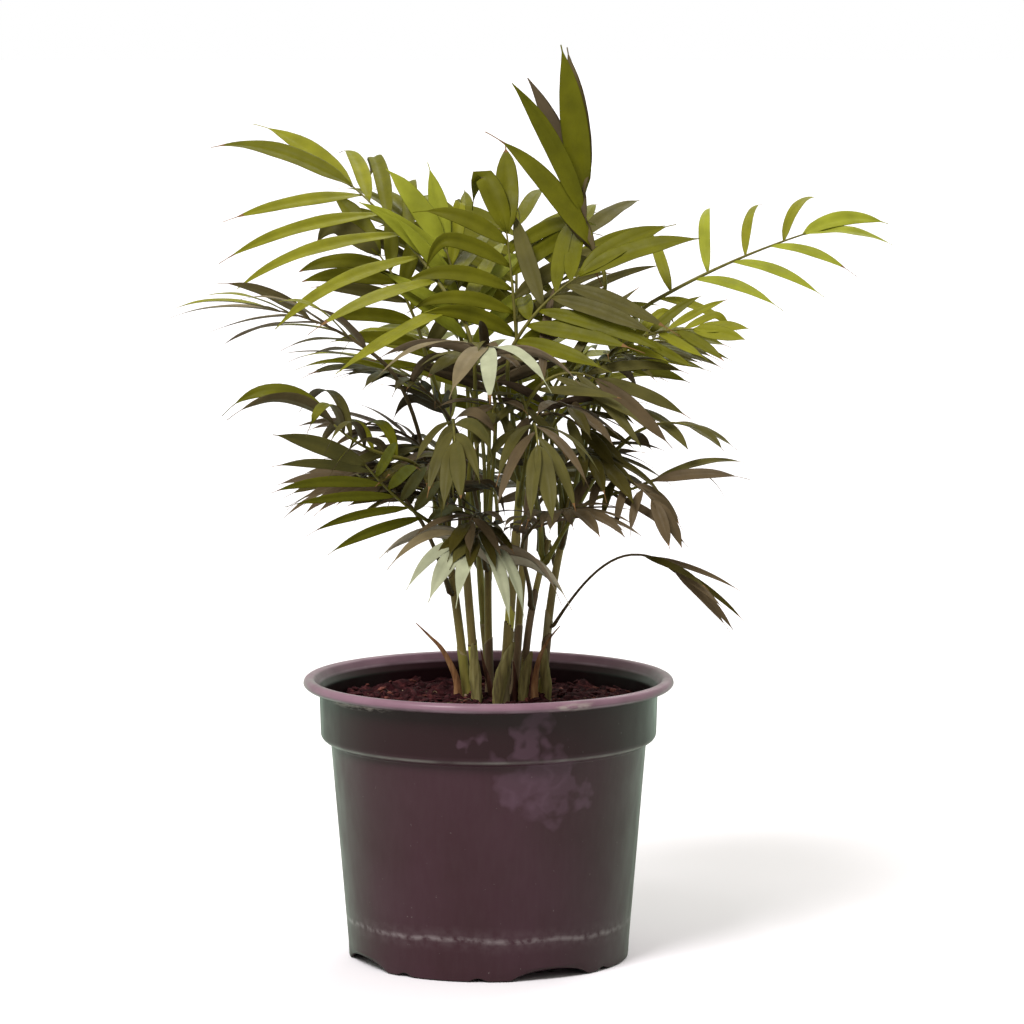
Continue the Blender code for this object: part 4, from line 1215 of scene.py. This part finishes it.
def build_pot():
    """The pot, turned from its rounded section, with its scalloped foot and drain holes."""
    section = pot_section()
    count = len(section) - 2
    bottom = POT_SEGMENTS * count
    verts, faces, discs = [], [], []
    for k in range(POT_SEGMENTS):
        heading = 360 * k / POT_SEGMENTS
        x, y = math.sin(math.radians(heading)), -math.cos(math.radians(heading))
        for radius, height in section[1:-1]:
            if radius > FOOT_RADIUS - 1.6 * WALL and height < SKIRT_TOP:
                height += foot_lift(heading) * (1 - height / SKIRT_TOP)
            verts.append((x * radius, y * radius, height))
        a, b = k * count, (k + 1) % POT_SEGMENTS * count
        faces += [(a + n, b + n, b + n + 1, a + n + 1) for n in range(count - 1)]
        discs += [(a, bottom, b), (a + count - 1, b + count - 1, bottom + 1)]
    verts += [(0.0, 0.0, section[0][1]), (0.0, 0.0, section[-1][1])]
    pot = Heap().add(verts, faces + discs).piece("nursery_pot", (pot_material(),), "pot_plastic", ("pot",))
    bm = bmesh.new()
    bmesh.ops.create_cone(
        bm, cap_ends=True, segments=28, radius1=DRAIN_RADIUS, radius2=DRAIN_RADIUS, depth=0.012
    )
    mesh = bpy.data.meshes.new("drain cutter")
    bm.to_mesh(mesh)
    bm.free()
    group = bpy.data.collections.new("drain cutters")
    bpy.context.scene.collection.children.link(group)
    for index in range(DRAIN_HOLES):
        cutter = linked("drain cutter", mesh, group)
        cutter.location = (*polar(DRAIN_RING, math.tau * (index + 0.5) / DRAIN_HOLES), FLOOR_LEVEL)
    modifier = pot.modifiers.new("drains", "BOOLEAN")
    modifier.operand_type = "COLLECTION"
    modifier.collection = group
    modifier.operation = "DIFFERENCE"
    modifier.solver = "EXACT"
    graph = bpy.context.evaluated_depsgraph_get()
    drilled = bpy.data.meshes.new_from_object(pot.evaluated_get(graph))
    pot.modifiers.clear()
    pot.data = drilled
    for cutter in list(group.objects):
        bpy.data.objects.remove(cutter)
    bpy.data.collections.remove(group)


def soil_height(x, y):
    """The height of the soil's crumbly top, in metres."""
    radius = math.hypot(x, y)
    edge = SOIL_EDGE_LEVEL + SOIL_BANK
    level = float(np.interp(radius, (SOIL_FLAT_RADIUS, COLLAR_RADIUS), (SOIL_LEVEL, edge)))
    lumps = noise.turbulence(Vector((x * 130, y * 130, 0.3)), 4, False) - 0.45
    crumbs = noise.noise(Vector((x * 700, y * 700, 2.0)))
    return level + SOIL_HEAP + 0.0028 * lumps + 0.0004 * crumbs


def build_soil():
    """The soil's crumbly top, and its plain sides and underside in the pot."""
    stops = ((0.35, (0.012, 0.002, 0.003)), (0.55, (0.036, 0.007, 0.010)), (0.72, (0.095, 0.026, 0.026)))
    relief = (0.8, 0.0006, 1500.0, 4.0)
    made = skin("potting soil", (0.026, 0.009, 0.010), 0.95, stops, (420.0, 6.0), relief, 0.1)
    outer = COLLAR_RADIUS - WALL - 2 * GAP
    low = FLOOR_LEVEL + FLOOR_THICKNESS + GAP
    rings = [(outer * (ring + 1) / SOIL_RINGS, None) for ring in range(SOIL_RINGS)]
    rings += [
        (BODY_TOP_RADIUS - WALL - 2 * GAP, COLLAR_FOOT - STEP_DROP),
        (FOOT_RADIUS - WALL, low + 0.0030), (FOOT_RADIUS - WALL - 0.0010 - 2 * GAP, low),
    ]
    verts = []
    for radius, height in rings:
        for k in range(SOIL_SEGMENTS):
            x, y = polar(radius, math.tau * k / SOIL_SEGMENTS)
            verts.append((x, y, soil_height(x, y) if height is None else height))
    top, last = len(verts), len(verts) - SOIL_SEGMENTS
    faces = ring_faces(top, SOIL_SEGMENTS, True)
    for k in range(SOIL_SEGMENTS):
        n = (k + 1) % SOIL_SEGMENTS
        faces += [(k, n, top), (last + n, last + k, top + 1)]
    heap = Heap().add([*verts, (0.0, 0.0, soil_height(0, 0)), (0.0, 0.0, low)], faces)
    heap.piece("soil_top", (made,), "potting_soil", ("soil",))
    build_chips(outer)


def chip_shape():
    """A round lump's vertices and faces, to be squashed into chips."""
    bm = bmesh.new()
    bmesh.ops.create_icosphere(bm, subdivisions=2, radius=1.0)
    verts = np.array([tuple(v.co) for v in bm.verts])
    faces = [tuple(v.index for v in face.verts) for face in bm.faces]
    bm.free()
    return verts, faces


def build_chips(outer):
    """Bark bits, crumbs and fibres that lie on the soil."""
    rng = random.Random(5)
    lump, lump_faces = chip_shape()
    for name, count, sizes, dark, light in CHIP_LOOKS:
        relief = (0.7, 0.0004, 1600.0, 3.0)
        stops = ((0.35, dark), (0.65, light))
        made = skin(name.replace("_", " "), light, 0.9, stops, (600.0, 4.0), relief, 0.15)
        heap = Heap()
        for _ in range(count):
            angle, reach = rng.uniform(0, math.tau), (outer - 0.0025) * math.sqrt(rng.random())
            size = rng.uniform(*sizes) * MM
            shape = np.array((size, size * rng.uniform(0.35, 0.7), size * rng.uniform(0.2, 0.45)))
            seed = Vector((rng.uniform(0, 50), rng.uniform(0, 50), 0))
            axis = unit(np.array((rng.uniform(-0.4, 0.4), rng.uniform(-0.4, 0.4), 1.0)))
            turn, tilt = rng.uniform(0, 360), rng.uniform(-28, 28)
            x, y = polar(reach, angle)
            centre = np.array((x, y, soil_height(x, y) + size * 0.10))
            points = []
            for v in lump:
                point = v * shape * (1 + 0.55 * noise.noise(Vector(v) * 1.3 + seed))
                points.append(centre + turned(turned(point, axis, turn), RIGHT, tilt))
            heap.add(points, lump_faces)
        heap.piece(f"soil_{name}", (made,), "potting_soil")
    stops = ((0.4, (0.06, 0.036, 0.020)), (0.6, (0.20, 0.14, 0.07)))
    made = skin("fibre", (0.16, 0.11, 0.05), 0.8, stops, (500.0,))
    heap = Heap()
    for _ in range(FIBRES):
        angle, reach = rng.uniform(0, math.tau), (outer - 0.006) * math.sqrt(rng.random())
        x, y = polar(reach, angle)
        way = rng.uniform(0, math.tau)
        points = []
        for step in range(7):
            points.append(np.array((x, y, soil_height(x, y) + 0.00035 + 0.0004 * math.sin(step))) / MM)
            way += rng.uniform(-0.5, 0.5)
            x, y = x + 0.0009 * math.cos(way), y + 0.0009 * math.sin(way)
        heap.add(*tube_solid(points, [0.13] * len(points), 5))
    heap.piece("soil_fibres", (made,), "potting_soil")


def build_stage():
    """A pale floor, a light sky that is darker in front, and wide soft suns."""
    mesh = bpy.data.meshes.new("floor")
    corners = ((-FLOOR_REACH, -4), (FLOOR_REACH, -4), (FLOOR_REACH, FLOOR_REACH), (-FLOOR_REACH, FLOOR_REACH))
    mesh.from_pydata([(x, y, -0.0003) for x, y in corners], [], [(0, 1, 2, 3)])
    made, tree, shader = node_tree("pale floor", (0.95, 0.95, 0.95), 0.95)
    paths = tree.nodes.new("ShaderNodeLightPath").outputs
    lit = blend(tree, paths["Is Diffuse Ray"], FLOOR_SHOWN, BOUNCE)
    tree.links.new(blend(tree, paths["Is Glossy Ray"], lit, FLOOR_MIRRORED), shader.inputs["Base Color"])
    shader.inputs["Specular IOR Level"].default_value = 0.1
    mesh.materials.append(made)
    floor = linked("floor", mesh)

    world = bpy.data.worlds.new("soft light")
    bpy.context.scene.world = world
    world.use_nodes = True
    tree = world.node_tree
    coords = tree.nodes.new("ShaderNodeTexCoord")
    parts = tree.nodes.new("ShaderNodeSeparateXYZ")
    tree.links.new(coords.outputs["Generated"], parts.inputs["Vector"])
    turn = tree.nodes.new("ShaderNodeMapRange")
    turn.inputs["From Min"].default_value = -1.0
    turn.inputs["From Max"].default_value = 1.0
    tree.links.new(parts.outputs["Y"], turn.inputs["Value"])
    around = ramp(tree, turn.outputs["Result"], SKY_AROUND)
    sky = blend(tree, ramp(tree, parts.outputs["Z"], ((0.10, BLACK), (0.75, WHITE))), around, SKY_TOP)
    paths = tree.nodes.new("ShaderNodeLightPath").outputs
    back = tree.nodes["Background"]
    tree.links.new(blend(tree, paths["Is Camera Ray"], sky, (1.0, 1.0, 1.0)), back.inputs["Color"])
    back.inputs["Strength"].default_value = 1.0

    for name, way, energy, angle in SUNS:
        light = bpy.data.lights.new(name, "SUN")
        light.energy = energy
        light.angle = math.radians(angle)
        light.color = (1.0, 0.985, 0.95)
        linked(name, light).rotation_euler = Vector(way).to_track_quat("-Z", "Y").to_euler()


def build_camera():
    """The camera at the photograph's viewing angle."""
    data = bpy.data.cameras.new("camera")
    data.lens = LENS
    data.sensor_width = 36.0
    data.clip_end = 20.0
    camera = linked("camera", data)
    camera.location = EYE
    camera.rotation_euler = (math.radians(90 - PITCH_DOWN), 0.0, 0.0)
    bpy.context.scene.camera = camera


bpy.context.scene.view_settings.view_transform = "Standard"
build_camera()
grown = grown_fronds()
build_foliage(grown)
build_stalks(grown)
build_canes()
build_sheaths()
build_pot()
build_soil()
build_stage()
